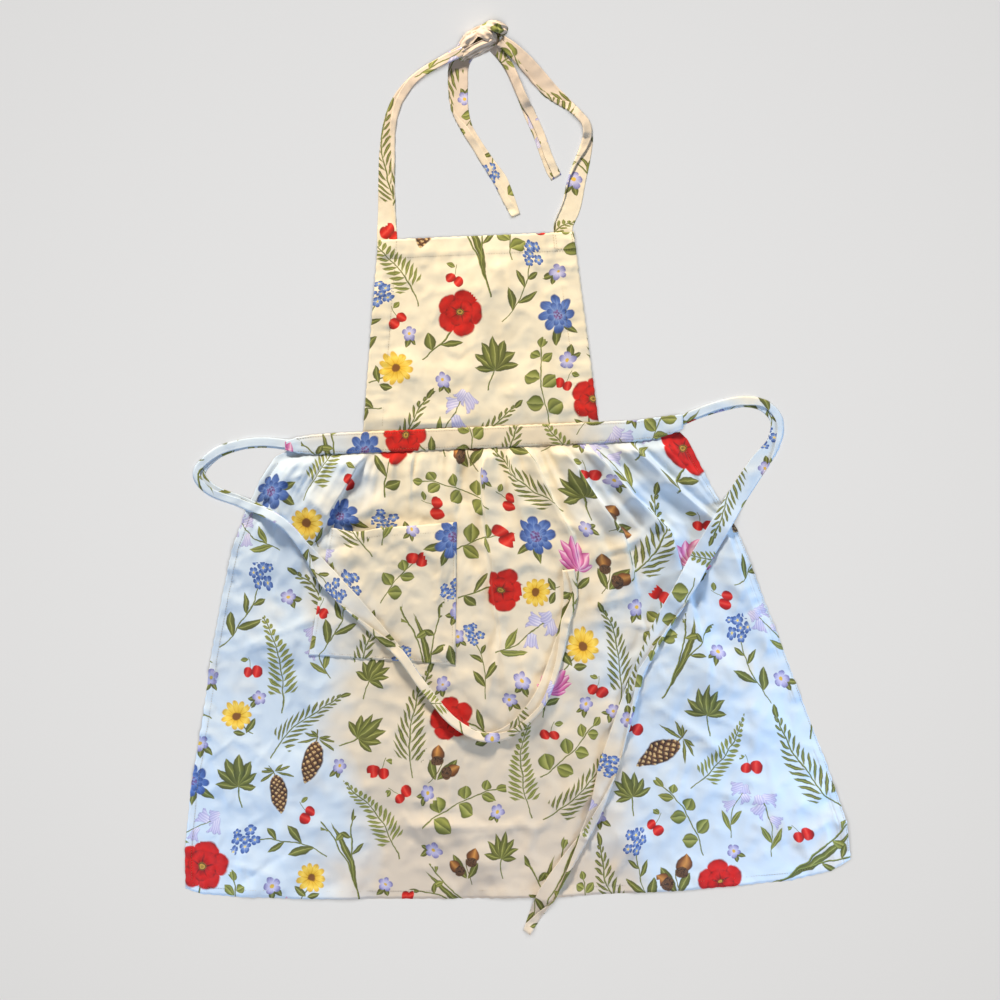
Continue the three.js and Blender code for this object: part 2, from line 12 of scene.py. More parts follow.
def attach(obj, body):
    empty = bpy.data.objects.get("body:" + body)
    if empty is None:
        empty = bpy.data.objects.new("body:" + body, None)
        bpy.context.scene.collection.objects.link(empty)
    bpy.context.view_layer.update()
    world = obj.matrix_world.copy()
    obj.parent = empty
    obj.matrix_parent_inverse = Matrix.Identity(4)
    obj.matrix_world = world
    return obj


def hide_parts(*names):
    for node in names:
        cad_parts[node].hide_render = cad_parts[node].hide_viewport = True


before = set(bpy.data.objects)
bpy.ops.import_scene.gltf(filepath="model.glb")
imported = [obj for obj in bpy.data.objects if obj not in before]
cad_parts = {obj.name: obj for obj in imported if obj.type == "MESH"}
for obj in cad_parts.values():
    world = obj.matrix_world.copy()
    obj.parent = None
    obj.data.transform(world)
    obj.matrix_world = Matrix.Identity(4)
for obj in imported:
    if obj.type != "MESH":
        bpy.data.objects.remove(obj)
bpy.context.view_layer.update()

# Printed cotton bib apron, laid out flat. Sizes are in millimetres, made metres where a mesh is filled.
mm = 0.001

cottonSizes = dict(thickness=0.7, tape=0.75, gap=0.4)


def tint(code):
    parts = [int(code[i:i + 2], 16) / 255 for i in (1, 3, 5)]
    return [p / 12.92 if p <= 0.04045 else ((p + 0.055) / 1.055) ** 2.4 for p in parts] + [1.0]


def smoothStep(low, high, value):
    share = np.clip((value - low) / (high - low), 0, 1)
    return share * share * (3 - 2 * share)


def bump(distance):
    return np.where(distance < 1, 0.5 + 0.5 * np.cos(np.pi * np.minimum(distance, 1)), 0)


def waves(x, y, size, seed, stretch=1):
    points = zip((x / size).ravel(), (y / size / stretch).ravel())
    values = [noise.noise((a, b, seed)) for a, b in points]
    return np.array(values).reshape(x.shape)


def ridges(x, y, size, seed, stretch=1):
    return 1 - 2.6 * np.abs(waves(x, y, size, seed, stretch))


# Rumples of several sizes: each row is a height, the ridges' size, a seed and how far they are drawn out
def rumpleHeight(x, y, rows):
    return sum(height * ridges(x, y, size, seed, stretch) for height, size, seed, stretch in rows)


def readTable(table, column, key, value):
    return np.interp(value, table[key], table[column])


# Print: every face belongs to the nearest motif, and carries that motif's own coordinates in centimetres
motifKinds = {
    "redBlossom": dict(length=90, girth=27, weight=6),
    "longBlades": dict(length=136, girth=17, weight=6),
    "leafySprig": dict(length=130, girth=16, weight=8),
    "roundLeaves": dict(length=98, girth=17, weight=6),
    "pineCone": dict(length=64, girth=19, weight=2),
    "blueSprig": dict(length=104, girth=16, weight=7),
    "fernFrond": dict(length=112, girth=16, weight=5),
    "blueBloom": dict(length=58, girth=22, weight=3),
    "berrySprig": dict(length=80, girth=17, weight=4),
    "lilacBells": dict(length=84, girth=17, weight=6),
    "pinkBuds": dict(length=64, girth=20, weight=3),
    "palmLeaf": dict(length=62, girth=23, weight=4),
    "acorns": dict(length=54, girth=18, weight=2),
    "yellowDaisy": dict(length=54, girth=20, weight=3),
    "cherries": dict(length=28, girth=12, weight=4),
    "smallBlossom": dict(length=28, girth=11, weight=9),
}
slenderKinds = ("longBlades", "leafySprig", "roundLeaves", "blueSprig", "fernFrond", "lilacBells", "berrySprig",
                "smallBlossom")
printRules = dict(scale=1.08, room=1350, tries=80, spare=3.5, gap=3.0, small=14, turnSpread=0.8, sizeSpread=0.12,
                  margin=26, chunk=4000)


def axisPoints(x, y, turn, length, girth):
    reach = max(length / 2 - girth, 0.1)
    steps = np.linspace(-reach, reach, 5)
    return np.stack([x - np.sin(turn) * steps, y + np.cos(turn) * steps], axis=-1)


# Motifs in turn, each where it lies close to those before it without crossing them
def layOutPrint(low, high, seed, names):
    draw = random.Random(seed)
    wanted = (high[0] - low[0]) * (high[1] - low[1]) / printRules["room"]
    total = sum(motifKinds[name]["weight"] for name in names)
    turns = []
    for name in names:
        kind = motifKinds[name]
        count = max(1, round(wanted * kind["weight"] / total))
        late = kind["girth"] < printRules["small"]
        turns += [(late, (index + draw.random()) / count, name) for index in range(count)]
    placed = []
    lines = np.full((1, 5, 2), -1e4)
    girths = np.zeros(1)
    for late, order, name in sorted(turns):
        kind = motifKinds[name]
        best = None
        for _ in range(printRules["tries"]):
            x = draw.uniform(low[0], high[0])
            y = draw.uniform(low[1], high[1])
            turn = draw.gauss(0, printRules["turnSpread"])
            size = printRules["scale"] * (1 + draw.uniform(-1, 1) * printRules["sizeSpread"])
            points = axisPoints(x, y, turn, kind["length"] * size, kind["girth"] * size)
            apart = np.linalg.norm(lines[:, :, None, :] - points[None, None, :, :], axis=-1)
            clear = (apart.min(axis=(1, 2)) - girths).min() - kind["girth"] * size
            fault = abs(clear - printRules["gap"]) if clear > -printRules["spare"] else 1e3 - clear
            if best is None or fault < best[0]:
                best = (fault, x, y, turn, size, points)
        fault, x, y, turn, size, points = best
        flip = draw.choice((-1, 1))
        if fault > 1e3 and placed:
            continue
        placed.append(dict(kind=name, x=x, y=y, turn=turn, size=size, flip=flip))
        lines = np.concatenate([lines, points[None]])
        girths = np.append(girths, kind["girth"] * size)
    return placed, lines[1:], girths[1:]


def printOn(mesh, seed, kinds):
    cloth = mesh.uv_layers["Cloth"]
    loops = len(mesh.loops)
    uv = np.empty(loops * 2)
    cloth.data.foreach_get("uv", uv)
    uv = uv.reshape(-1, 4, 2) * 10
    centres = uv.mean(axis=1)
    low = centres.min(axis=0) - printRules["margin"]
    high = centres.max(axis=0) + printRules["margin"]
    placed, lines, girths = layOutPrint(low, high, seed, kinds)
    names = list(motifKinds)
    nearest = np.zeros(len(centres), dtype=int)
    chunk = printRules["chunk"]  # keeps the table of distances small
    for start in range(0, len(centres), chunk):
        part = centres[start:start + chunk]
        apart = np.linalg.norm(part[:, None, None, :] - lines[None], axis=-1).min(axis=2) - girths[None]
        nearest[start:start + chunk] = apart.argmin(axis=1)
    values = {key: np.array([row[key] for row in placed])[nearest] for key in ("x", "y", "turn", "size", "flip")}
    across = uv[:, :, 0] - values["x"][:, None]
    along = uv[:, :, 1] - values["y"][:, None]
    cos = np.cos(values["turn"])[:, None]
    sin = np.sin(values["turn"])[:, None]
    scale = 10 * values["size"][:, None]
    localX = (across * cos + along * sin) / scale * values["flip"][:, None]
    localY = (along * cos - across * sin) / scale
    motif = mesh.uv_layers.new(name="Motif")
    motif.data.foreach_set("uv", np.stack([localX, localY], axis=-1).ravel())
    slots = np.array([names.index(row["kind"]) for row in placed])[nearest]
    mesh.polygons.foreach_set("material_index", slots)
    print("print:", mesh.name, len(placed), "motifs")


# One sheet of cloth: a grid whose points go where its place function says
def makeSheet(name, across, along, place, thickness, seed, kinds=tuple(motifKinds)):
    bm = bmesh.new()
    columns, rows = len(across) - 1, len(along) - 1
    bmesh.ops.create_grid(bm, x_segments=columns, y_segments=rows, size=0.5)
    mesh = bpy.data.meshes.new(name)
    bm.to_mesh(mesh)
    bm.free()
    points = np.empty(len(mesh.vertices) * 3)
    mesh.vertices.foreach_get("co", points)
    points = points.reshape(-1, 3)
    column = np.rint((points[:, 0] + 0.5) * columns).astype(int)
    row = np.rint((points[:, 1] + 0.5) * rows).astype(int)
    s, t = np.asarray(across)[column], np.asarray(along)[row]
    x, y, z, u, v = place(s, t)
    mesh.vertices.foreach_set("co", (np.stack([x, y, z], axis=-1) * mm).ravel())
    corners = np.empty(len(mesh.loops), dtype=int)
    mesh.loops.foreach_get("vertex_index", corners)
    cloth = mesh.uv_layers.new(name="Cloth")
    cloth.data.foreach_set("uv", (np.stack([u, v], axis=-1)[corners] / 10).ravel())
    mesh.polygons.foreach_set("use_smooth", np.ones(len(mesh.polygons), dtype=bool))
    for kind in motifKinds:
        mesh.materials.append(cottonPrints[kind])
    mesh.materials.append(hemEdge)
    printOn(mesh, seed, kinds)
    mesh.update()
    piece = bpy.data.objects.new(name, mesh)
    bpy.context.collection.objects.link(piece)
    wall = piece.modifiers.new("thickness", "SOLIDIFY")
    wall.thickness = thickness * mm
    wall.offset = -1
    # The rim faces take the last slot, the painted edge shade
    wall.material_offset_rim = len(motifKinds)
    clothPieces.objects.link(piece)
    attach(piece, "root")
    return piece


clothPieces = bpy.data.collections.new("clothPieces")


def surfaceOf(*pieces):
    trees = []
    for piece in pieces:
        bm = bmesh.new()
        bm.from_mesh(piece.data)
        trees.append(BVHTree.FromBMesh(bm))
        bm.free()

    def height(x, y):
        top = 0.0
        for tree in trees:
            hit = tree.ray_cast(Vector((x * mm, y * mm, 0.1)), Vector((0, 0, -1)))[0]
            if hit:
                top = max(top, hit.z / mm)
        return top
    return height


# Materials
def startPen(tree):
    nodes, links = tree.nodes, tree.links

    def wire(socket, value):
        if isinstance(value, bpy.types.NodeSocket):
            links.new(value, socket)
        elif value is not None:
            socket.default_value = value

    def calc(operation, *values, clamp=False):
        node = nodes.new("ShaderNodeMath")
        node.operation = operation
        node.use_clamp = clamp
        for socket, value in zip(node.inputs, values):
            wire(socket, value)
        return node.outputs[0]

    def move(point, at, turn=0.0, size=(1, 1)):
        node = nodes.new("ShaderNodeMapping")
        node.vector_type = "TEXTURE"
        wire(node.inputs["Vector"], point)
        node.inputs["Location"].default_value = (*at, 0)
        node.inputs["Rotation"].default_value = (0, 0, math.radians(turn))
        node.inputs["Scale"].default_value = (*size, 1)
        return node.outputs[0]

    def split(point):
        node = nodes.new("ShaderNodeSeparateXYZ")
        wire(node.inputs[0], point)
        return node.outputs[0], node.outputs[1]

    def join(x, y):
        node = nodes.new("ShaderNodeCombineXYZ")
        wire(node.inputs[0], x)
        wire(node.inputs[1], y)
        return node.outputs[0]

    def mix(factor, under, over):
        node = nodes.new("ShaderNodeMix")
        node.data_type = "RGBA"
        wire(node.inputs[0], factor)
        wire(node.inputs[6], under)
        wire(node.inputs[7], over)
        return node.outputs[2]

    def ramp(value, *stops):
        node = nodes.new("ShaderNodeValToRGB")
        wire(node.inputs[0], value)
        bar = node.color_ramp
        while len(bar.elements) < len(stops):
            bar.elements.new(1.0)
        for element, (place, code) in zip(bar.elements, stops):
            element.position = place
            element.color = tint(code)
        return node.outputs[0]

    def fuzz(point, scale, detail=2.0, output=0):
        node = nodes.new("ShaderNodeTexNoise")
        node.noise_dimensions = "2D"
        wire(node.inputs["Vector"], point)
        node.inputs["Scale"].default_value = scale
        node.inputs["Detail"].default_value = detail
        return node.outputs[output]

    def cells(point, scale):
        node = nodes.new("ShaderNodeTexVoronoi")
        node.voronoi_dimensions = "2D"
        wire(node.inputs["Vector"], point)
        node.inputs["Scale"].default_value = scale
        return node.outputs["Distance"], node.outputs["Color"]

    def vector(operation, a, b=None, c=None, output=0):
        node = nodes.new("ShaderNodeVectorMath")
        node.operation = operation
        for socket, value in zip(node.inputs, (a, b, c)):
            wire(socket, value)
        return node.outputs[output]

    def chart(name):
        node = nodes.new("ShaderNodeUVMap")
        node.uv_map = name
        return node.outputs[0]
    return SimpleNamespace(nodes=nodes, links=links, wire=wire, calc=calc, move=move, split=split, join=join,
                           mix=mix, ramp=ramp, fuzz=fuzz, cells=cells, vector=vector, chart=chart)


leafTones = ((0.0, "#3a401c"), (0.14, "#545b28"), (0.42, "#747b39"), (0.5, "#a3a762"), (0.56, "#666c33"),
             (0.86, "#545a28"), (1.0, "#373c1a"))
freshTones = ((0.0, "#4b5326"), (0.2, "#727b36"), (0.46, "#a6ab60"), (0.52, "#5f6630"), (0.8, "#8a9148"),
              (1.0, "#474e24"))
stemTone = "#5a612b"


def leaf(pen, colour, point, at, turn, size, tones=leafTones, sharp=7.0):
    x, y = pen.split(pen.move(point, at, turn, size))
    belly = pen.calc("MULTIPLY", pen.calc("MULTIPLY", x, 4.0), pen.calc("SUBTRACT", 1.0, x))
    gap = pen.calc("SUBTRACT", belly, pen.calc("ABSOLUTE", y))
    mask = pen.calc("MULTIPLY", gap, sharp, clamp=True)
    shade = pen.calc("MULTIPLY_ADD", pen.calc("DIVIDE", y, belly), 0.5, 0.5)
    return pen.mix(mask, colour, pen.ramp(shade, *tones))


def stem(pen, colour, point, low, high, width=0.1, tone=stemTone):
    x, y = pen.split(point)
    side = pen.calc("SUBTRACT", width, pen.calc("ABSOLUTE", x))
    ends = pen.calc("MINIMUM", pen.calc("SUBTRACT", y, low), pen.calc("SUBTRACT", high, y))
    mask = pen.calc("MULTIPLY", pen.calc("MINIMUM", side, ends), 22.0, clamp=True)
    shade = pen.calc("MULTIPLY_ADD", x, 0.5 / width, 0.5)
    return pen.mix(mask, colour, pen.ramp(shade, (0.0, "#3b4519"), (0.45, tone), (0.7, "#8d9850"), (1.0, "#4a5522")))


def bend(pen, point, amount, centre=0.0):
    x, y = pen.split(point)
    away = pen.calc("SUBTRACT", y, centre)
    return pen.join(pen.calc("MULTIPLY_ADD", pen.calc("MULTIPLY", away, away), -amount, x), y)


# Leaflets in pairs along a stem: pitch apart, rising at a slope, each reaching out between low and high
def leaflets(pen, colour, point, low, high, pitch, reach, slope, girth, tones=leafTones, stagger=0.0):
    x, y = pen.split(point)
    away = pen.calc("ABSOLUTE", x)
    rise = pen.calc("MULTIPLY_ADD", away, -slope, y)
    if stagger:
        rise = pen.calc("MULTIPLY_ADD", pen.calc("SIGN", x), stagger, rise)
    beat = pen.calc("MULTIPLY", rise, 1 / pitch)
    off = pen.calc("SUBTRACT", pen.calc("FRACT", beat), 0.5)
    share = pen.calc("MULTIPLY", pen.calc("SUBTRACT", y, low), 1 / (high - low), clamp=True)
    taper = pen.calc("MULTIPLY", pen.calc("SUBTRACT", 1.02, pen.calc("POWER", share, 1.7)), reach)
    out = pen.calc("DIVIDE", away, taper)
    belly = pen.calc("MULTIPLY", pen.calc("MULTIPLY", out, 4 * girth), pen.calc("SUBTRACT", 1.0, out))
    gap = pen.calc("SUBTRACT", belly, pen.calc("ABSOLUTE", off))
    inside = pen.calc("MULTIPLY", pen.calc("MULTIPLY", share, pen.calc("SUBTRACT", 1.0, share)), 60.0, clamp=True)
    mask = pen.calc("MULTIPLY", pen.calc("MULTIPLY", gap, 9.0, clamp=True), inside)
    shade = pen.calc("MULTIPLY_ADD", pen.calc("DIVIDE", off, belly), 0.5, 0.5)
    return pen.mix(mask, colour, pen.ramp(shade, *tones))


def blossom(pen, colour, point, at, size, petals, notch, heart, tones, centre, turn=0.0, streaks=7.0):
    local = pen.move(point, at, turn, (size, size))
    x, y = pen.split(local)
    angle = pen.calc("ARCTAN2", y, x)
    radius = pen.vector("LENGTH", local, output=1)
    lobe = pen.calc("ABSOLUTE", pen.calc("COSINE", pen.calc("MULTIPLY", angle, petals / 2)))
    edge = pen.calc("MULTIPLY_ADD", pen.calc("POWER", lobe, 0.55), notch, 1 - notch)
    mask = pen.calc("MULTIPLY", pen.calc("SUBTRACT", edge, radius), 14.0, clamp=True)
    grain = pen.fuzz(pen.join(pen.calc("MULTIPLY", angle, streaks), pen.calc("MULTIPLY", radius, 1.2)), 1.0, 1.0)
    cleft = pen.calc("MULTIPLY", pen.calc("SUBTRACT", 0.34, lobe), 0.9, clamp=True)
    tone = pen.calc("MULTIPLY_ADD", grain, 0.34, pen.calc("SUBTRACT", radius, 0.17))
    flower = pen.ramp(pen.calc("SUBTRACT", tone, cleft), *tones)
    colour = pen.mix(mask, colour, flower)
    inner = pen.calc("MULTIPLY", pen.calc("SUBTRACT", heart, radius), 16.0, clamp=True)
    return pen.mix(inner, colour, centre if isinstance(centre, bpy.types.NodeSocket) else tint(centre))


# A head of many small florets inside an oval
def florets(pen, colour, point, at, size, count, tones, spread=0.42):
    local = pen.move(point, at, 0, size)
    radius = pen.vector("LENGTH", local, output=1)
    gap, random3 = pen.cells(point, count)
    near = pen.calc("SUBTRACT", 1.0, radius)
    mask = pen.calc("MULTIPLY", pen.calc("SUBTRACT", spread, gap), 9.0, clamp=True)
    inside = pen.calc("MULTIPLY", near, 14.0, clamp=True)
    eye = pen.calc("MULTIPLY_ADD", gap, 1.2, pen.calc("MULTIPLY", pen.split(random3)[0], 0.4))
    return pen.mix(pen.calc("MULTIPLY", mask, inside), colour, pen.ramp(eye, *tones))


def bell(pen, colour, point, at, turn, size, tones):
    x, y = pen.split(pen.move(point, at, turn, size))
    flare = pen.calc("MULTIPLY_ADD", pen.calc("POWER", pen.calc("MULTIPLY", x, 1.0, clamp=True), 2.2), 0.55, 0.42)
    cap = pen.calc("MULTIPLY", pen.calc("MULTIPLY", x, 6.0, clamp=True), flare)
    scallops = pen.calc("ABSOLUTE", pen.calc("COSINE", pen.calc("MULTIPLY", y, 4.6)))
    frill = pen.calc("MULTIPLY_ADD", scallops, 0.14, 0.9)
    side = pen.calc("SUBTRACT", cap, pen.calc("ABSOLUTE", y))
    gap = pen.calc("MINIMUM", side, pen.calc("SUBTRACT", frill, x))
    mask = pen.calc("MULTIPLY", gap, 11.0, clamp=True)
    veins = pen.calc("MULTIPLY", pen.calc("ABSOLUTE", pen.calc("SINE", pen.calc("MULTIPLY", y, 13.0))), 0.3)
    rim = pen.calc("MULTIPLY", pen.calc("SUBTRACT", 0.12, gap), 4.0, clamp=True)
    shade = pen.calc("ADD", pen.calc("MULTIPLY_ADD", x, 0.35, veins), rim)
    return pen.mix(mask, colour, pen.ramp(shade, *tones))


def ball(pen, colour, point, at, size, tones, turn=35):
    side, rise = pen.split(pen.move(point, at, turn, (size, size)))
    far = pen.vector("LENGTH", pen.join(side, rise), output=1)
    mask = pen.calc("MULTIPLY", pen.calc("SUBTRACT", 1.0, far), 9.0, clamp=True)
    return pen.mix(mask, colour, pen.ramp(pen.calc("MULTIPLY_ADD", side, 0.5, 0.5), *tones))


redTones = ((0.0, "#24070a"), (0.14, "#6e0806"), (0.34, "#a80905"), (0.6, "#cd0e07"), (0.86, "#b90a06"),
            (1.0, "#6e0604"))
lilacTones = ((0.0, "#eceaf6"), (0.35, "#c3c2e4"), (0.65, "#a3a3d3"), (1.0, "#62629c"))
blueTones = ((0.0, "#e8d06a"), (0.1, "#dfe6f4"), (0.26, "#7f9ace"), (0.7, "#4869b0"), (1.0, "#2b437f"))
pinkTones = ((0.0, "#b24a86"), (0.2, "#da7db4"), (0.42, "#f3cfe0"), (0.55, "#e08fbe"), (0.8, "#cf5fa2"),
             (1.0, "#97306e"))
yellowTones = ((0.0, "#a67815"), (0.3, "#e0b32a"), (0.65, "#efd15a"), (1.0, "#c99a1f"))
nutTones = ((0.0, "#3c2318"), (0.3, "#804e26"), (0.55, "#c18846"), (0.8, "#84522a"), (1.0, "#361d13"))
capTones = ((0.0, "#2d1d17"), (0.5, "#6b4c35"), (1.0, "#38271e"))
berryTones = ((0.0, "#6b0608"), (0.4, "#cb110d"), (0.55, "#dd4236"), (0.7, "#cb110d"), (1.0, "#6b0608"))
coneTones = ((0.0, "#20140f"), (0.3, "#4b3020"), (0.55, "#7d5838"), (0.78, "#dcc08a"), (1.0, "#8f6b45"))


def drawLeafySprig(pen, point, colour):
    point = bend(pen, point, 0.028)
    colour = leaflets(pen, colour, point, -4.4, 6.3, 0.95, 1.75, 1.5, 0.36, stagger=0.24)
    colour = stem(pen, colour, point, -6.3, 5.6, 0.1)
    return leaf(pen, colour, point, (0, 4.8), 92, (1.5, 0.32))


def drawFernFrond(pen, point, colour):
    point = bend(pen, point, -0.034, -1.5)
    colour = leaflets(pen, colour, point, -3.4, 5.5, 0.62, 1.75, 0.7, 0.42, freshTones)
    return stem(pen, colour, point, -5.5, 5.0, 0.09)


# Long slender stalks from one foot, two with leaves and one with a bud
def drawLongBlades(pen, point, colour):
    first = bend(pen, point, 0.024, -5.5)
    second = bend(pen, point, -0.022, -5.0)
    colour = leaf(pen, colour, bend(pen, point, 0.03, -4.5), (0.0, -5.0), 96, (9.0, 0.42), sharp=5.0)
    colour = stem(pen, colour, second, -6.2, 3.4, 0.11)
    colour = stem(pen, colour, first, -6.4, 4.6, 0.12)
    for at, turn, size in (((0, 4.2), 86, (2.0, 0.5)), ((0, 2.6), 40, (1.9, 0.34)), ((0, 1.2), 150, (2.0, 0.36))):
        colour = leaf(pen, colour, first, at, turn, size, freshTones)
    for at, turn, size in (((0, 3.0), 98, (1.9, 0.42)), ((0, 1.4), 30, (1.6, 0.3)), ((0, -0.6), 146, (1.8, 0.34))):
        colour = leaf(pen, colour, second, at, turn, size)
    return colour


def drawRoundLeaves(pen, point, colour):
    point = bend(pen, point, 0.03, -1)
    colour = stem(pen, colour, point, -4.8, 4.4, 0.09)
    sides = (((0.1, -3.2), 24, (2.0, 0.92)), ((-0.1, -2.4), 158, (1.9, 0.86)), ((0.1, -0.4), 30, (1.9, 0.84)),
             ((-0.1, 0.4), 150, (1.7, 0.76)), ((0.1, 2.2), 38, (1.5, 0.62)), ((-0.1, 2.8), 142, (1.35, 0.54)),
             ((0, 3.8), 88, (1.3, 0.5)))
    for at, turn, size in sides:
        colour = leaf(pen, colour, point, at, turn, size, freshTones, 9.0)
    return colour


def drawBlueSprig(pen, point, colour):
    point = bend(pen, point, 0.045, -1)
    colour = stem(pen, colour, point, -5.1, 3.0, 0.085)
    sides = (((0, -3.6), 58, (2.9, 0.5)), ((0, -2.5), 128, (2.7, 0.46)), ((0, -0.6), 50, (2.0, 0.36)),
             ((0, 0.4), 132, (1.6, 0.3)))
    for at, turn, size in sides:
        colour = leaf(pen, colour, point, at, turn, size)
    heads = ((-0.1, 4.0, 0.66), (0.8, 3.1, 0.62), (-0.95, 2.9, 0.6), (0.1, 2.3, 0.56), (0.95, 4.3, 0.5),
             (-0.9, 4.2, 0.46), (0.0, 3.2, 0.5))
    for x, y, scale in heads:
        colour = blossom(pen, colour, point, (x, y), scale, 5, 0.42, 0.2, blueTones, "#e8cf5c", turn=40 * x)
    return colour


def drawRedBlossom(pen, point, colour):
    low = bend(pen, point, 0.05, 1.5)
    colour = stem(pen, colour, low, -4.7, 1.2, 0.12)
    colour = leaf(pen, colour, low, (0, -3.3), 40, (2.6, 0.56))
    colour = leaf(pen, colour, low, (0, -2.2), 142, (2.4, 0.5))
    rings = pen.vector("LENGTH", pen.move(point, (0.1, 2.0)), output=1)
    heart = pen.ramp(pen.calc("FRACT", pen.calc("MULTIPLY", rings, 3.4)), (0.0, "#1c0a0d"), (1.0, "#d0a545"))
    colour = blossom(pen, colour, point, (0.1, 2.0), 2.8, 5, 0.2, 0.17, redTones, heart, turn=14, streaks=2.6)
    return blossom(pen, colour, point, (0.1, 2.0), 1.7, 5, 0.3, 0.28, redTones, heart, turn=50, streaks=3.4)


def drawLilacBells(pen, point, colour):
    point = bend(pen, point, -0.05, -1)
    colour = stem(pen, colour, point, -3.9, 3.0, 0.085)
    colour = leaf(pen, colour, point, (0, -3.2), 62, (2.8, 0.42), freshTones)
    colour = leaf(pen, colour, point, (0, -2.4), 120, (2.5, 0.38), freshTones)
    bells = (((0.1, 3.0), -30, (1.65, 1.1)), ((-0.05, 2.0), -142, (1.6, 1.05)), ((0.05, 0.7), -40, (1.5, 1.0)),
             ((0.0, 3.3), -104, (1.35, 0.95)))
    for at, turn, size in bells:
        colour = bell(pen, colour, point, at, turn, size, lilacTones)
    return colour


def drawBerrySprig(pen, point, colour):
    point = bend(pen, point, 0.04, -1)
    colour = stem(pen, colour, point, -3.8, 2.6, 0.085)
    sides = (((0, -2.4), 32, (2.0, 0.84)), ((0, -1.5), 150, (1.95, 0.8)), ((0, 0.1), 28, (1.8, 0.74)),
             ((0, 1.0), 146, (1.6, 0.66)))
    for at, turn, size in sides:
        colour = leaf(pen, colour, point, at, turn, size, freshTones, 9.0)
    for x, y, scale in ((-0.5, 2.7, 0.72), (0.6, 3.0, 0.68), (0.1, 3.6, 0.56)):
        colour = ball(pen, colour, point, (x, y), scale, berryTones)
    return colour


def drawPinkBuds(pen, point, colour):
    point = bend(pen, point, -0.05, -1)
    colour = stem(pen, colour, point, -3.2, 1.2, 0.09)
    colour = leaf(pen, colour, point, (0, -2.4), 46, (2.2, 0.5))
    colour = leaf(pen, colour, point, (0, -1.8), 138, (2.0, 0.46))
    petals = (((0, 0.0), 90, (3.1, 0.72)), ((0, -0.1), 66, (2.9, 0.66)), ((0, -0.1), 114, (2.9, 0.66)),
              ((0, -0.2), 42, (2.6, 0.58)), ((0, -0.2), 138, (2.6, 0.58)), ((0, -0.2), 16, (2.0, 0.46)),
              ((0, -0.2), 164, (2.0, 0.46)))
    for at, turn, size in petals[::-1]:
        colour = leaf(pen, colour, point, at, turn, size, pinkTones, 9.0)
    return colour


def drawPalmLeaf(pen, point, colour):
    colour = stem(pen, colour, bend(pen, point, 0.08), -2.9, -0.6, 0.1)
    for step, turn in enumerate((6, 174, 40, 140, 66, 114, 90)):
        colour = leaf(pen, colour, point, (0, -0.7), turn, (2.1 + 0.2 * step, 0.38 + 0.03 * step))
    return colour


def drawAcorns(pen, point, colour):
    colour = leaf(pen, colour, point, (0.1, -1.9), 62, (3.4, 0.66))
    colour = leaf(pen, colour, point, (0.0, -1.9), 128, (2.6, 0.5))
    colour = stem(pen, colour, bend(pen, point, -0.1), -2.6, 0.6, 0.08, "#5c4630")
    for at, turn, size in (((-0.6, -0.1), 104, (2.2, 0.92)), ((0.7, -1.0), 40, (1.9, 0.8))):
        colour = leaf(pen, colour, point, at, turn, size, nutTones)
        local = pen.move(point, at, turn, (0.78, 1.0))
        far = pen.vector("LENGTH", pen.vector("SUBTRACT", local, (0.35, 0, 0)), output=1)
        mask = pen.calc("MULTIPLY", pen.calc("SUBTRACT", 0.8, far), 10.0, clamp=True)
        spots = pen.cells(point, 4.5)[0]
        colour = pen.mix(mask, colour, pen.ramp(pen.calc("MULTIPLY", spots, 1.6), *capTones))
    return colour


# A cone of scales in slanting rows, each pale at its lip, hanging among needles
def drawPineCone(pen, point, colour):
    for turn, reach in ((172, 2.2), (205, 2.8), (8, 2.2), (-25, 2.8), (150, 1.5), (28, 1.5)):
        colour = leaf(pen, colour, point, (0, 2.3), turn, (reach, 0.2), sharp=4.0)
    colour = stem(pen, colour, bend(pen, point, 0.12, 1), 1.0, 3.2, 0.1, "#5c4630")
    x, y = pen.split(pen.move(point, (0, -0.6), 0, (1.45, 2.5)))
    belly = pen.calc("MAXIMUM", pen.calc("SUBTRACT", 1.0, pen.calc("MULTIPLY", y, y)), 0.0)
    taper = pen.calc("MULTIPLY_ADD", y, 0.22, 0.8)
    side = pen.calc("MULTIPLY", pen.calc("POWER", belly, 0.6), taper)
    gap = pen.calc("SUBTRACT", side, pen.calc("ABSOLUTE", x))
    slant = pen.calc("MULTIPLY", x, 0.5)
    left = pen.calc("FRACT", pen.calc("MULTIPLY", pen.calc("ADD", y, slant), 3.6))
    right = pen.calc("FRACT", pen.calc("MULTIPLY", pen.calc("SUBTRACT", y, slant), 3.6))
    lip = pen.calc("MULTIPLY_ADD", pen.calc("ABSOLUTE", x), -0.35, pen.calc("MINIMUM", left, right))
    mask = pen.calc("MULTIPLY", gap, 9.0, clamp=True)
    return pen.mix(mask, colour, pen.ramp(pen.calc("ADD", lip, 0.2), *coneTones))


def drawYellowDaisy(pen, point, colour):
    colour = stem(pen, colour, bend(pen, point, 0.07, 1), -2.5, 0.4, 0.09)
    colour = leaf(pen, colour, point, (0.2, -1.9), 36, (2.0, 0.46))
    colour = leaf(pen, colour, point, (0.1, -1.9), 150, (1.6, 0.4))
    return blossom(pen, colour, point, (0, 0.6), 1.9, 11, 0.34, 0.3, yellowTones, "#7c4d18", turn=8, streaks=9)


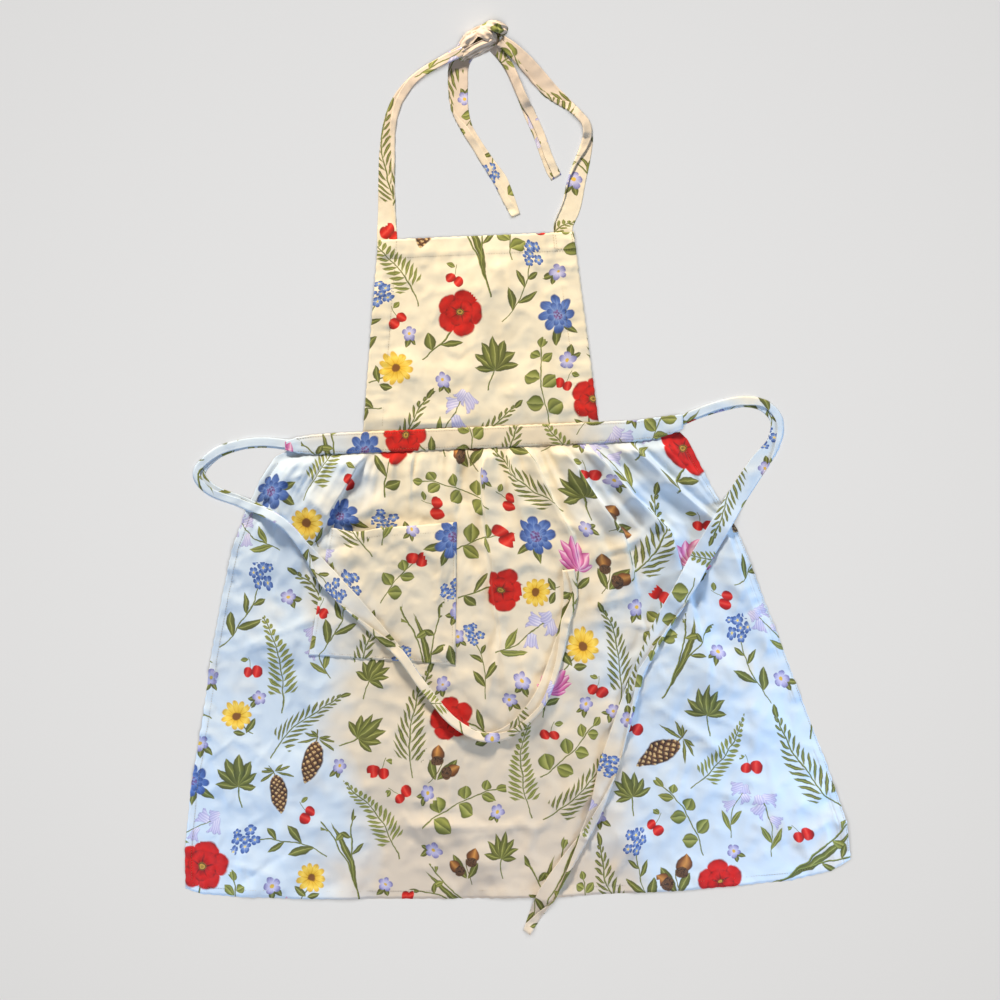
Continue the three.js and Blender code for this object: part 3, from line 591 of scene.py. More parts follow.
def drawBlueBloom(pen, point, colour):
    colour = leaf(pen, colour, point, (0, -0.2), -66, (2.9, 0.5))
    colour = leaf(pen, colour, point, (0, -0.2), -124, (2.7, 0.48))
    colour = blossom(pen, colour, point, (0, 0.4), 2.2, 8, 0.4, 0.12, blueTones[2:], "#38406e", turn=12)
    colour = blossom(pen, colour, point, (0, 0.4), 1.35, 8, 0.45, 0.12, blueTones[2:], "#38406e", turn=34)
    return florets(pen, colour, point, (0, 0.4), (0.6, 0.6), 3.4, ((0.0, "#20264f"), (1.0, "#8d6fb0")), 0.6)


def drawSmallBlossom(pen, point, colour):
    colour = leaf(pen, colour, point, (0, -0.1), -60, (1.4, 0.34))
    colour = leaf(pen, colour, point, (0, -0.1), -118, (1.2, 0.3))
    return blossom(pen, colour, point, (0, 0.25), 0.95, 5, 0.4, 0.26, lilacTones[1:], "#d9b548", turn=20)


def drawCherries(pen, point, colour):
    colour = stem(pen, colour, bend(pen, point, 0.2, 1), -0.6, 1.3, 0.06)
    colour = leaf(pen, colour, point, (0.1, 1.0), 20, (1.1, 0.34), freshTones)
    for at, size in (((-0.45, -0.7), 0.72), ((0.62, -0.35), 0.62)):
        colour = ball(pen, colour, point, at, size, berryTones)
    return colour


motifDrawings = {
    "redBlossom": drawRedBlossom,
    "longBlades": drawLongBlades,
    "leafySprig": drawLeafySprig,
    "fernFrond": drawFernFrond,
    "blueSprig": drawBlueSprig,
    "roundLeaves": drawRoundLeaves,
    "lilacBells": drawLilacBells,
    "berrySprig": drawBerrySprig,
    "pineCone": drawPineCone,
    "blueBloom": drawBlueBloom,
    "pinkBuds": drawPinkBuds,
    "palmLeaf": drawPalmLeaf,
    "acorns": drawAcorns,
    "yellowDaisy": drawYellowDaisy,
    "cherries": drawCherries,
    "smallBlossom": drawSmallBlossom,
}

# ground, shade and light are the cloth's own tones, mixed at random; low is a painted shade towards the skirt's hem,
# band a painted shade along the waist seam, cool a painted cool light on the apron's sides
cottonLook = dict(ground="#eae1ca", shade="#e3d9c1", light="#eee5cd", cool="#c8d9ec", low="#d3c9bc",
                  band="#d8cbb4", neck="#cfc0b2", wobble=0.16, sway=0.75, ink=0.98,
                  threadScale=22.0, weave=0.35, weaveDepth=0.0002,
                  crumpleScale=0.4, crumpleDetail=3.0, crumple=0.8, crumpleDepth=0.0025,
                  roughness=0.9, sheen=0.12, specular=0.18)
# Where each tint comes in on the apron: its slope over the place in metres, and its start. low and band place painted
# shade; side, middle, sideMost, waist and the patch keys place the painted cool light
tintPlaces = dict(low=(-2.2, -0.1), band=(-140.0, 2.6), seamShadeShare=0.75, neck=(5.5, -1.35), side=(12.0, -1.45),
                  middle=0.02, sideMost=1.2, waist=(-24.0, 0.2), patchScale=9.0, patchShare=2.2)


def makeCotton(name, drawMotif):
    material = bpy.data.materials.new(name)
    material.use_nodes = True
    tree = material.node_tree
    tree.nodes.clear()
    pen = startPen(tree)
    cloth = pen.chart("Cloth")
    warm = pen.ramp(pen.fuzz(cloth, 0.3, 3.0), (0.3, cottonLook["shade"]), (0.52, cottonLook["ground"]),
                    (0.72, cottonLook["light"]))
    place = pen.nodes.new("ShaderNodeTexCoord").outputs["Object"]
    x, y = pen.split(place)
    where = tintPlaces
    patch = pen.calc("SUBTRACT", pen.fuzz(place, where["patchScale"], 3.0), 0.5)
    # Painted shade: the ground darkens towards the skirt's hem
    down = pen.calc("MULTIPLY_ADD", y, *where["low"], clamp=True)
    colour = pen.mix(down, warm, tint(cottonLook["low"]))
    # Painted shade over the waistband and a few millimetres of bib and skirt beside it
    waist = pen.calc("MULTIPLY_ADD", pen.calc("ABSOLUTE", y), *where["band"], clamp=True)
    colour = pen.mix(pen.calc("MULTIPLY", waist, where["seamShadeShare"]), colour, tint(cottonLook["band"]))
    high = pen.calc("MULTIPLY_ADD", y, *where["neck"], clamp=True)
    colour = pen.mix(high, colour, tint(cottonLook["neck"]))
    # Painted cool light: a bluish tint growing towards both sides, broken into blotches and held off the top of the
    # apron
    away = pen.calc("ABSOLUTE", pen.calc("ADD", x, where["middle"]))
    aside = pen.calc("MINIMUM", pen.calc("MULTIPLY_ADD", away, *where["side"]), where["sideMost"])
    above = pen.calc("MINIMUM", pen.calc("MULTIPLY_ADD", y, *where["waist"]), 0.0)
    patched = pen.calc("MULTIPLY", patch, where["patchShare"])
    coolLightShare = pen.calc("ADD", pen.calc("ADD", aside, above), patched, clamp=True)
    colour = pen.mix(coolLightShare, colour, tint(cottonLook["cool"]))
    # The motif wavers a little with the cloth, and its ink lets a little of the ground through
    drift = pen.vector("SUBTRACT", pen.fuzz(cloth, 1.4, 2.0, output=1), (0.5, 0.5, 0.5))
    point = pen.vector("MULTIPLY_ADD", drift, (cottonLook["wobble"],) * 3, pen.chart("Motif"))
    sway = pen.vector("SUBTRACT", pen.fuzz(cloth, 0.3, 1.0, output=1), (0.5, 0.5, 0.5))
    point = pen.vector("MULTIPLY_ADD", sway, (cottonLook["sway"],) * 3, point)
    wash = pen.calc("MULTIPLY_ADD", pen.fuzz(cloth, 1.2, 1.0), 0.03, cottonLook["ink"] - 0.02)
    colour = pen.mix(wash, colour, drawMotif(pen, point, colour))
    x, y = pen.split(cloth)
    scale = cottonLook["threadScale"]
    warp = pen.fuzz(pen.join(x, pen.calc("MULTIPLY", y, 0.12)), scale, 1.0)
    weft = pen.fuzz(pen.join(pen.calc("MULTIPLY", x, 0.12), y), scale, 1.0)
    threads = pen.calc("ADD", warp, weft)
    weave = pen.nodes.new("ShaderNodeBump")
    weave.inputs["Strength"].default_value = cottonLook["weave"]
    weave.inputs["Distance"].default_value = cottonLook["weaveDepth"]
    pen.wire(weave.inputs["Height"], threads)
    crumple = pen.nodes.new("ShaderNodeBump")
    crumple.inputs["Strength"].default_value = cottonLook["crumple"]
    crumple.inputs["Distance"].default_value = cottonLook["crumpleDepth"]
    creases = pen.nodes.new("ShaderNodeTexNoise")
    creases.noise_dimensions = "2D"
    creases.noise_type = "RIDGED_MULTIFRACTAL"
    creases.inputs["Scale"].default_value = cottonLook["crumpleScale"]
    creases.inputs["Detail"].default_value = cottonLook["crumpleDetail"]
    pen.wire(creases.inputs["Vector"], cloth)
    pen.wire(crumple.inputs["Height"], creases.outputs[0])
    pen.wire(crumple.inputs["Normal"], weave.outputs[0])
    surface = pen.nodes.new("ShaderNodeBsdfPrincipled")
    surface.inputs["Roughness"].default_value = cottonLook["roughness"]
    surface.inputs["Sheen Weight"].default_value = cottonLook["sheen"]
    surface.inputs["Specular IOR Level"].default_value = cottonLook["specular"]
    pen.wire(surface.inputs["Base Color"], colour)
    pen.wire(surface.inputs["Normal"], crumple.outputs[0])
    out = pen.nodes.new("ShaderNodeOutputMaterial")
    pen.links.new(surface.outputs[0], out.inputs["Surface"])
    return material


# Rim faces of every cloth piece: a darker brown-grey, painted shade along the cut and turned edges
def makeHemEdge():
    material = bpy.data.materials.new("cotton_edge_shade")
    material.use_nodes = True
    pen = startPen(material.node_tree)
    place = pen.nodes.new("ShaderNodeTexCoord").outputs["Object"]
    surface = material.node_tree.nodes["Principled BSDF"]
    # Painted edge shade, varying a little at random
    edgeShade = pen.ramp(pen.fuzz(place, 60.0, 2.0), (0.3, "#8a795c"), (0.7, "#a39275"))
    pen.wire(surface.inputs["Base Color"], edgeShade)
    surface.inputs["Roughness"].default_value = 0.95
    return material


hemEdge = makeHemEdge()
cottonPrints = {kind: makeCotton("cotton_" + kind, motifDrawings[kind]) for kind in motifKinds}
print("materials made")


# Waistband: the seam that the bib and the skirt run into
bandSizes = dict(length=478, height=25.5, offset=2, top=3.4, edge=1.0, stitchInset=3.0, groove=0.35,
                 pucker=0.28, puckerPitch=9.0, endRise=2.4, thickness=0.9)
bandOutline = dict(along=[0, 0.03, 0.07, 0.13, 0.88, 0.93, 0.97, 1],
                   top=[0.38, 0.74, 0.92, 1, 1, 1.18, 1.3, 1.36],
                   bottom=[-0.44, -0.74, -0.95, -1, -1, -0.86, -0.42, 0])
bandHalf = bandSizes["height"] / 2


def bandEdge(x, side):
    along = (x - bandSizes["offset"]) / bandSizes["length"] + 0.5
    return bandHalf * readTable(bandOutline, side, "along", along)


def placeBand(s, t):
    size = bandSizes
    x = size["offset"] + (s - 0.5) * size["length"]
    low, high = bandEdge(x, "bottom"), bandEdge(x, "top")
    y = low + (high - low) * t
    toEdge = np.minimum(y - low, high - y)
    rumple = smoothStep(0.8, 1, s) + smoothStep(0.12, 0, s)
    beat = 2 * np.pi * x / size["puckerPitch"] + 2.5 * waves(x, y, 30, 3.1)
    nearStitch = np.exp(-((toEdge - size["stitchInset"]) / 3.5) ** 2)
    z = size["top"] - size["edge"] * np.exp(-toEdge / 1.6) + 0.5 * waves(x, y, 38, 5.2)
    z = z + nearStitch * size["pucker"] * np.sin(beat) * (0.6 + 0.8 * np.abs(waves(x, y, 50, 8.8)))
    z = z - size["groove"] * np.exp(-((toEdge - size["stitchInset"]) / 0.9) ** 2)
    z = z + rumple * (1.1 * waves(x, y, 16, 6.3, 0.6) + 0.5)
    toEnd = np.minimum(s, 1 - s) * size["length"]
    z = z + size["endRise"] * smoothStep(26, 8, toEnd)  # the ties run in under both ends
    y = y + 0.35 * np.sin(beat) * smoothStep(4, 0, toEdge) * np.sign(t - 0.5)
    return x, y, np.maximum(z, 1.7), x + 900, y + 40


# Bib: panel with hems turned in at its sides and top
bibSizes = dict(topWidth=235, bottomWidth=283, height=229, hem=24, offset=-1.5, lean=3.7, tuck=9.0, hemLift=1.4,
                groove=1.1, pucker=0.7, puckerPitch=11.5, scallop=0.45, swell=4.0, pinch=2.6)
bibSwells = [
    dict(across=0.25, up=0.8, width=0.5, length=0.22, height=1.0),
    dict(across=-0.05, up=0.42, width=0.16, length=0.42, height=0.5),
    dict(across=-0.5, up=0.3, width=0.42, length=0.24, height=0.7),
    dict(across=0.5, up=0.22, width=0.42, length=0.2, height=0.8),
]
# Soft creases: both ends, how far the slopes reach and how high the crest stands
bibCreases = [
    dict(start=(4, 150), end=(-12, 50), reach=7, height=1.0),
    dict(start=(-96, 212), end=(-40, 140), reach=12, height=0.8),
    dict(start=(40, 216), end=(92, 178), reach=10, height=1.1),
    dict(start=(60, 120), end=(118, 60), reach=12, height=0.9),
    dict(start=(-118, 96), end=(-60, 40), reach=10, height=0.8),
]
bibRumples = ((1.4, 66, 1.4, 1), (0.8, 30, 4.7, 1), (0.25, 14, 9.1, 1))


def creaseHeight(x, y, creases):
    total = np.zeros_like(x)
    warp = 3.0 * waves(x, y, 45, 2.2)
    for crease in creases:
        (ax, ay), (bx, by) = crease["start"], crease["end"]
        length = math.hypot(bx - ax, by - ay)
        ux, uy = (bx - ax) / length, (by - ay) / length
        along = (x - ax) * ux + (y - ay) * uy
        off = (x - ax) * uy - (y - ay) * ux + warp
        ends = bump(np.abs(along / length - 0.5) * 1.7)
        total = total + crease["height"] * ends * np.exp(-np.abs(off) / crease["reach"] * 2.2)
    return total


# Small creases strewn over a panel: longer and steeper ones first, most of them running down it
def strewCreases(seed, count, low, high, long, height, lean=0.0, spread=0.6):
    draw = random.Random(seed)
    creases = []
    for index in range(count):
        share = 1 - 0.7 * index / count
        x, y = draw.uniform(low[0], high[0]), draw.uniform(low[1], high[1])
        turn = draw.gauss(lean, spread)
        reach = long * share * draw.uniform(0.6, 1.1) / 2
        dx, dy = math.sin(turn) * reach, math.cos(turn) * reach
        creases.append(dict(start=(x - dx, y - dy), end=(x + dx, y + dy), reach=draw.uniform(7, 19) * share,
                            height=draw.choice((-0.7, 1)) * height * share * draw.uniform(0.6, 1.2)))
    return creases


# Crumpled cotton: nearly straight creases in many directions, each fading in and out
crumpleRules = dict(count=6, near=70, far=190, height=1.1, warp=8.0, low=-0.1, high=0.3)


def crumple(x, y, seed):
    rule = crumpleRules
    draw = random.Random(seed)
    warp = rule["warp"] * waves(x, y, 60, seed + 0.3)
    total = np.zeros_like(x)
    for index in range(rule["count"]):
        turn = draw.uniform(0, np.pi)
        length = draw.uniform(rule["near"], rule["far"])
        beat = 2 * np.pi * ((x * math.cos(turn) + y * math.sin(turn) + warp) / length + draw.random())
        mask = smoothStep(rule["low"], rule["high"], waves(x, y, 130, seed * 1.7 + index * 3.1))
        total = total + np.arcsin(0.98 * np.sin(beat)) / 1.37 * mask * rule["height"] * length / 100
    return total


# A turned hem: a raised band, a stitched groove at its inner edge and puckers across the stitches
def hemRelief(toEdge, along, hem, size, seed):
    stitch = hem - 1.6
    beat = 2 * np.pi * along / size["puckerPitch"] + 3.0 * waves(along, toEdge, 46, seed)
    force = 0.45 + 1.1 * np.abs(waves(along, np.ones_like(toEdge), 34, seed + 4))
    lift = size["hemLift"] * smoothStep(hem + 1.2, hem - 1.2, toEdge)
    groove = size["groove"] * np.exp(-((toEdge - stitch) / 1.3) ** 2)
    pucker = size["pucker"] * force * np.sin(beat) * np.exp(-np.abs(toEdge - stitch) / (0.34 * hem + 2))
    return lift - groove + pucker, np.sin(beat + 0.8) * force * size["scallop"] * np.exp(-toEdge / (0.3 * hem + 1))


bibCreases += strewCreases(32, 30, (-120, 10), (120, 210), 120, 1.6, 0.2, 0.9)


def placeBib(s, t):
    size = bibSizes
    up = t * (size["height"] + size["tuck"]) / size["height"] - size["tuck"] / size["height"]
    half = (size["bottomWidth"] + (size["topWidth"] - size["bottomWidth"]) * up) / 2
    side = 2 * s - 1
    x = side * half + size["offset"] + size["lean"] * up
    y = bandHalf + up * size["height"]
    above = y - bandHalf
    z = np.zeros_like(x)
    for swell in bibSwells:
        far = np.hypot((side - swell["across"]) / swell["width"], (up - swell["up"]) / swell["length"])
        z = z + swell["height"] * size["swell"] * bump(far)
    toSide = (1 - np.abs(side)) * half
    toTop = (1 - up) * size["height"]
    sideHem, sideWave = hemRelief(toSide, above, size["hem"], size, 11.3)
    topHem, topWave = hemRelief(toTop, x, size["hem"], size, 17.9)
    z = z + np.maximum(sideHem, topHem) + np.minimum(sideHem, topHem) * 0.4
    inner = smoothStep(2, size["hem"] + 8, np.minimum(toSide, toTop))
    z = z + creaseHeight(x, above, bibCreases) + crumple(x, y, 3) * (0.25 + 0.75 * inner)
    z = z + inner * (rumpleHeight(x, y, bibRumples) - 1.1)
    gather = 0.5 * np.sin(2 * np.pi * x / 13 + 3 * waves(x, y, 40, 7.7)) * np.exp(-np.maximum(above, 0) / 16)
    pinch = np.exp(-((above - 6) / 3) ** 2) * bump(np.abs(x + 60) / 48)
    z = (z + gather + 1.6) * smoothStep(-2, 16, above) + size["pinch"] * pinch
    x = x + np.sign(side) * sideWave
    y = y + topWave * smoothStep(0, 40, toSide + 20)
    return x, y, np.clip(z, 0, None) + 1.3, x + 200, y + 60


# Skirt: gathered into the band and flared to the hem
skirtSizes = dict(length=542, topWidth=496, offset=-2, leftFlare=129, rightFlare=174, hemRise=36, hem=11, tuck=9.0,
                  pleatWidth=20, pleatHeight=9, pleatRise=14, fanDepth=0.2, swell=8, hemLift=0.8, groove=0.7,
                  pucker=0.6, puckerPitch=12.0, scallop=0.55)
skirtSides = dict(down=[-0.02, 0, 0.05, 0.12, 0.2, 0.3, 0.45, 0.6, 0.75, 0.9, 1],
                  left=[-0.2, 0, 0.15, 0.3, 0.43, 0.54, 0.68, 0.785, 0.915, 0.99, 1],
                  right=[-0.06, 0, 0.07, 0.17, 0.3, 0.41, 0.57, 0.715, 0.86, 0.98, 1])
hemLine = dict(across=[0, 0.022, 0.07, 0.17, 0.35, 0.56, 0.74, 0.91, 0.97, 1],
               rise=[0.8, 0.58, 0.45, 0.3, 0.11, 0, 0.03, 0.2, 0.48, 0.85])
skirtFolds = [
    dict(at=0.05, fan=-0.01, left=1.2, right=1.6, height=0.55, length=0.3),
    dict(at=0.09, fan=-0.02, left=1.8, right=1.5, height=0.7, length=0.24),
    dict(at=0.215, fan=-0.062, left=3, right=0.5, height=1.3, length=0.27),
    dict(at=0.29, fan=0.038, left=0.4, right=0.5, height=0.5, length=0.12),
    dict(at=0.33, fan=0.032, left=0.4, right=0.4, height=0.5, length=0.14),
    dict(at=0.436, fan=0.011, left=0.5, right=0.5, height=0.55, length=0.2),
    dict(at=0.516, fan=0, left=0.5, right=0.9, height=1.2, length=0.6),
    dict(at=0.575, fan=0.016, left=0.5, right=0.6, height=0.7, length=0.3),
    dict(at=0.61, fan=0.06, left=0.6, right=0.4, height=1.15, length=0.38),
    dict(at=0.689, fan=0.08, left=0.9, right=0.45, height=1.6, length=0.46),
    dict(at=0.75, fan=0.11, left=1, right=0.5, height=1.7, length=0.56),
    dict(at=0.85, fan=0.12, left=1.4, right=0.8, height=1.35, length=0.5),
    dict(at=0.93, fan=0.06, left=1.3, right=1.2, height=0.7, length=0.4),
]
skirtSwells = [
    dict(at=0.08, down=0.42, width=0.1, length=0.16, height=0.5),
    dict(at=0.84, down=0.5, width=0.13, length=0.17, height=0.6),
    dict(at=0.68, down=0.66, width=0.1, length=0.12, height=0.5),
    dict(at=0.42, down=0.84, width=0.2, length=0.05, height=0.45),
    dict(at=0.16, down=0.78, width=0.1, length=0.1, height=0.4),
]
skirtCreases = [
    dict(start=(-196, -84), end=(-146, -100), reach=4, height=4.5),
    dict(start=(-242, -46), end=(-210, -30), reach=6, height=1.8),
    dict(start=(-214, -62), end=(-196, -40), reach=6, height=1.6),
    dict(start=(-330, -250), end=(-170, -196), reach=12, height=2.6),
    dict(start=(-340, -330), end=(-210, -420), reach=14, height=2.4),
    dict(start=(-175, -460), end=(120, -474), reach=11, height=3.6),
    dict(start=(30, -300), end=(130, -430), reach=14, height=2.4),
    dict(start=(170, -230), end=(310, -330), reach=15, height=2.6),
    dict(start=(240, -120), end=(330, -240), reach=14, height=1.7),
    dict(start=(210, -420), end=(370, -470), reach=14, height=2.2),
    dict(start=(-150, -300), end=(-40, -350), reach=14, height=1.3),
    dict(start=(-60, -120), end=(-20, -300), reach=10, height=1.5),
]
skirtCreases += strewCreases(31, 120, (-370, -550), (400, -60), 170, 4.2, 0.0, 1.0)
skirtRumples = ((3.0, 96, 2.6, 1.4), (2.0, 44, 6.4, 1), (0.9, 19, 12.5, 1))
gatherRules = dict(count=52, seed=7, low=1.1, high=4.0, near=20, far=110, narrow=3.6, wide=8.5)


def skirtEdge(down, side):
    size = skirtSizes
    flare = -size["leftFlare"] if side == "left" else size["rightFlare"]
    start = size["offset"] + (-1 if side == "left" else 1) * size["topWidth"] / 2
    return start + flare * readTable(skirtSides, side, "down", down)


def skirtAcross(at, down):
    anchors = dict(at=[0] + [f["at"] for f in skirtFolds] + [1], fan=[0] + [f["fan"] for f in skirtFolds] + [0])
    return at + readTable(anchors, "fan", "at", at) * np.clip(down / skirtSizes["fanDepth"], 0, 1)


def skirtX(at, down):
    left, right = skirtEdge(down, "left"), skirtEdge(down, "right")
    return left + (right - left) * skirtAcross(at, down)


def placeSkirt(s, t):
    size = skirtSizes
    down = t * (1 + size["tuck"] / size["length"]) - size["tuck"] / size["length"]
    across = skirtAcross(s, down)
    x = skirtX(s, down)
    rise = size["hemRise"] * readTable(hemLine, "rise", "across", across) * np.maximum(down, 0) ** 3
    y = -bandHalf - down * size["length"] + rise
    depth = -bandHalf - y
    z = np.zeros_like(x)
    lean = np.zeros_like(x)
    hidden = np.zeros_like(x)
    for fold in skirtFolds:
        offset = x - skirtX(np.full_like(s, fold["at"]), down)
        slope = size["pleatWidth"] * np.where(offset < 0, fold["left"], fold["right"])
        fade = np.maximum(0, 1 - (np.maximum(down, 0) / fold["length"]) ** 1.5)
        far = np.abs(offset) / slope
        crest = 0.45 * bump(far) + 0.55 * np.maximum(0, 1 - far) ** 1.5
        height = fold["height"] * size["pleatHeight"] * fade
        z = z + height * crest
        steep = np.sign(fold["left"] - fold["right"] + 0.01)
        lean = lean + steep * 0.55 * height * crest
        hidden = hidden + height * 1.1 * smoothStep(-0.5, 1.0, steep * offset / (slope * 0.8)) * steep
    draw = random.Random(gatherRules["seed"])
    for index in range(gatherRules["count"]):
        at = (index + draw.uniform(0.15, 0.85)) / gatherRules["count"]
        tall = draw.uniform(gatherRules["low"], gatherRules["high"])
        long = draw.uniform(gatherRules["near"], gatherRules["far"]) * (0.5 + tall / gatherRules["high"])
        half = draw.uniform(gatherRules["narrow"], gatherRules["wide"])
        drift = draw.uniform(-0.12, 0.12)
        offset = x - skirtX(np.full_like(s, at), down) - drift * depth
        fade = np.maximum(0, 1 - np.maximum(depth, 0) / long)
        z = z + tall * fade * bump(np.abs(offset) / (half * (1.5 - 0.5 * fade)))
    z = z * np.minimum(1, np.maximum(depth, 0) / size["pleatRise"] + 0.12 * (depth > 0))
    for swell in skirtSwells:
        far = np.hypot((across - swell["at"]) / swell["width"], (down - swell["down"]) / swell["length"])
        z = z + swell["height"] * size["swell"] * bump(far)
    calm = smoothStep(0, 60, depth)
    z = z + calm * (rumpleHeight(x, y, skirtRumples) - 2.5)
    z = z + crumple(x, y, 8) * smoothStep(10, 110, depth) * 1.5 + calm * 0.6
    z = z + creaseHeight(x, y, skirtCreases) * smoothStep(0, 20, depth)
    toSide = np.minimum(x - skirtEdge(down, "left"), skirtEdge(down, "right") - x)
    toHem = (1 - down) * size["length"]
    sideHem, sideWave = hemRelief(toSide, depth, size["hem"], size, 21.7)
    lowHem, lowWave = hemRelief(toHem, x, size["hem"], size, 27.1)
    z = z + sideHem * smoothStep(0, 12, depth) + lowHem
    z = np.maximum(z + 0.9, 0) * smoothStep(-3, 10, depth) + 0.5 * smoothStep(8, -3, depth)
    u = x + hidden
    x = x + lean * smoothStep(0, 30, depth) + np.where(s < 0.5, -1, 1) * sideWave * smoothStep(0, 30, depth)
    y = y - lowWave
    return x, y, z + cottonSizes["thickness"], u + 500, y + 900


# Pocket: a patch sewn on at three sides, its mouth bagged up
pocketSizes = dict(mouth=152, bottom=175, depth=162, right=-35, top=-100, slant=19, lean=-9, bag=7.5, hem=12,
                   hemLift=0.7, groove=0.6, pucker=0.4, puckerPitch=11.0, scallop=0.3, seam=3.5, sag=7)
mouthLine = dict(across=[0, 0.1, 0.22, 0.4, 0.7, 1], sag=[0, 0.6, 1, 0.45, 0.3, 0])
pocketCreases = [
    dict(start=(-196, -232), end=(-120, -130), reach=11, height=1.5),
    dict(start=(-150, -250), end=(-70, -150), reach=12, height=1.2),
    dict(start=(-52, -120), end=(-60, -220), reach=8, height=1.0),
    dict(start=(-176, -150), end=(-150, -112), reach=8, height=0.9),
]


pocketRumples = ((1.3, 38, 3.3, 1), (0.5, 17, 7.9, 1))
pocketCreases += strewCreases(33, 22, (-215, -260), (-40, -110), 90, 1.7, 0.6, 0.5)


def makePocketPlace(ground):
    def placePocket(s, t):
        size = pocketSizes
        down = 1 - t
        width = size["mouth"] + (size["bottom"] - size["mouth"]) * down
        sag = size["sag"] * readTable(mouthLine, "sag", "across", s) * t ** 3
        x = size["right"] + size["lean"] * down - (1 - s) * width
        y = size["top"] - down * (size["depth"] + size["slant"] * (s - 0.5)) - sag
        under = np.array([ground(a, b) for a, b in zip(x, y)])
        bag = size["bag"] * (1 - np.abs(2 * s - 1) ** 2.4) * (1 - down ** 2.2)
        toSide = np.minimum(s, 1 - s) * width
        toTop = (1 - t) * size["depth"]
        toLow = t * size["depth"]
        topHem, topWave = hemRelief(toTop, x, size["hem"], size, 31.3)
        edge = np.minimum(toSide, toLow)
        z = under + cottonSizes["gap"] + bag + topHem
        relief = creaseHeight(x, y, pocketCreases) + 0.7 * crumple(x, y, 14)
        relief = relief + rumpleHeight(x, y, pocketRumples) - 0.2
        z = z + np.maximum(relief, 0) * smoothStep(0, 12, edge)
        beat = np.sin(2 * np.pi * (x + y) / 9.5 + 3 * waves(x, y, 30, 5.5))
        z = z - 0.4 * np.exp(-((edge - size["seam"]) / 1.3) ** 2) + 0.3 * beat * np.exp(-edge / 7)
        y = y - topWave * 0.6
        return x, y, z + cottonSizes["thickness"], x * 0.99 + 1500, y + 1300
    return placePocket


def evenly(count, extra=1.0):
    return np.linspace(0, 1, count + 1) ** extra


band = makeSheet("waistband", evenly(200), evenly(14), placeBand, bandSizes["thickness"], 41)
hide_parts("waistband")
bib = makeSheet("bib", evenly(104), evenly(88), placeBib, cottonSizes["thickness"], 42)
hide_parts("bib")
skirt = makeSheet("skirt", evenly(270), evenly(172, 1.12)[::-1], placeSkirt, cottonSizes["thickness"], 43)
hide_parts("skirt")
placePocket = makePocketPlace(surfaceOf(skirt))
pocket = makeSheet("pocket", evenly(72), evenly(70), placePocket, cottonSizes["thickness"], 44)
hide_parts("pocket")
print("panels made")

# Stitches: short threads along each seam, laid on the panel's own surface
stitchSizes = dict(length=2.2, pitch=3.1, radius=0.26, proud=0.12, run=1.6, strap=25, strapInset=3, strapDrop=20,
                   strapTop=0.994)


def makeThread():
    material = bpy.data.materials.new("sewingThread")
    material.use_nodes = True
    pen = startPen(material.node_tree)
    place = pen.nodes.new("ShaderNodeTexCoord").outputs["Object"]
    grain = pen.fuzz(place, 900.0, 2.0)
    surface = material.node_tree.nodes["Principled BSDF"]
    pen.wire(surface.inputs["Base Color"], pen.ramp(grain, (0.3, "#b49c72"), (0.7, "#dcc9a2")))
    twist = pen.nodes.new("ShaderNodeBump")
    twist.inputs["Strength"].default_value = 0.5
    twist.inputs["Distance"].default_value = 0.0001
    pen.wire(twist.inputs["Height"], grain)
    pen.wire(surface.inputs["Normal"], twist.outputs[0])
    surface.inputs["Roughness"].default_value = 0.7
    surface.inputs["Sheen Weight"].default_value = 0.2
    return material


threadLook = makeThread()


def sew(name, lines):
    bm = bmesh.new()
    size = stitchSizes
    for line in lines:
        lengths = np.concatenate([[0], np.cumsum(np.linalg.norm(np.diff(line, axis=0), axis=1))])
        starts = np.arange(size["pitch"] / 2, lengths[-1] - size["pitch"] / 2, size["pitch"])
        near, far = (np.stack([np.interp(starts + shift, lengths, line[:, k]) for k in range(3)], axis=-1)
                     for shift in (-size["length"] / 2, size["length"] / 2))
        for a, b in zip(near, far):
            centre = Vector((a + b) / 2 + (0, 0, size["proud"])) * mm
            turn = Vector(b - a).to_track_quat("X", "Z").to_matrix().to_4x4()
            shape = Matrix.Diagonal((size["length"] / 2 * mm, size["radius"] * mm, size["radius"] * mm, 1))
            bmesh.ops.create_icosphere(bm, subdivisions=1, radius=1, matrix=Matrix.Translation(centre) @ turn @ shape)
    mesh = bpy.data.meshes.new(name)
    bm.to_mesh(mesh)
    bm.free()
    mesh.polygons.foreach_set("use_smooth", np.ones(len(mesh.polygons), dtype=bool))
    mesh.materials.append(threadLook)
    piece = bpy.data.objects.new(name, mesh)
    bpy.context.collection.objects.link(piece)
    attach(piece, "root")
    return piece


def seam(place, s, t, steps=240):
    spread = [np.linspace(*value, steps) if isinstance(value, tuple) else value + np.zeros(steps)
              for value in (s, t)]
    return np.stack(place(*spread)[:3], axis=-1)


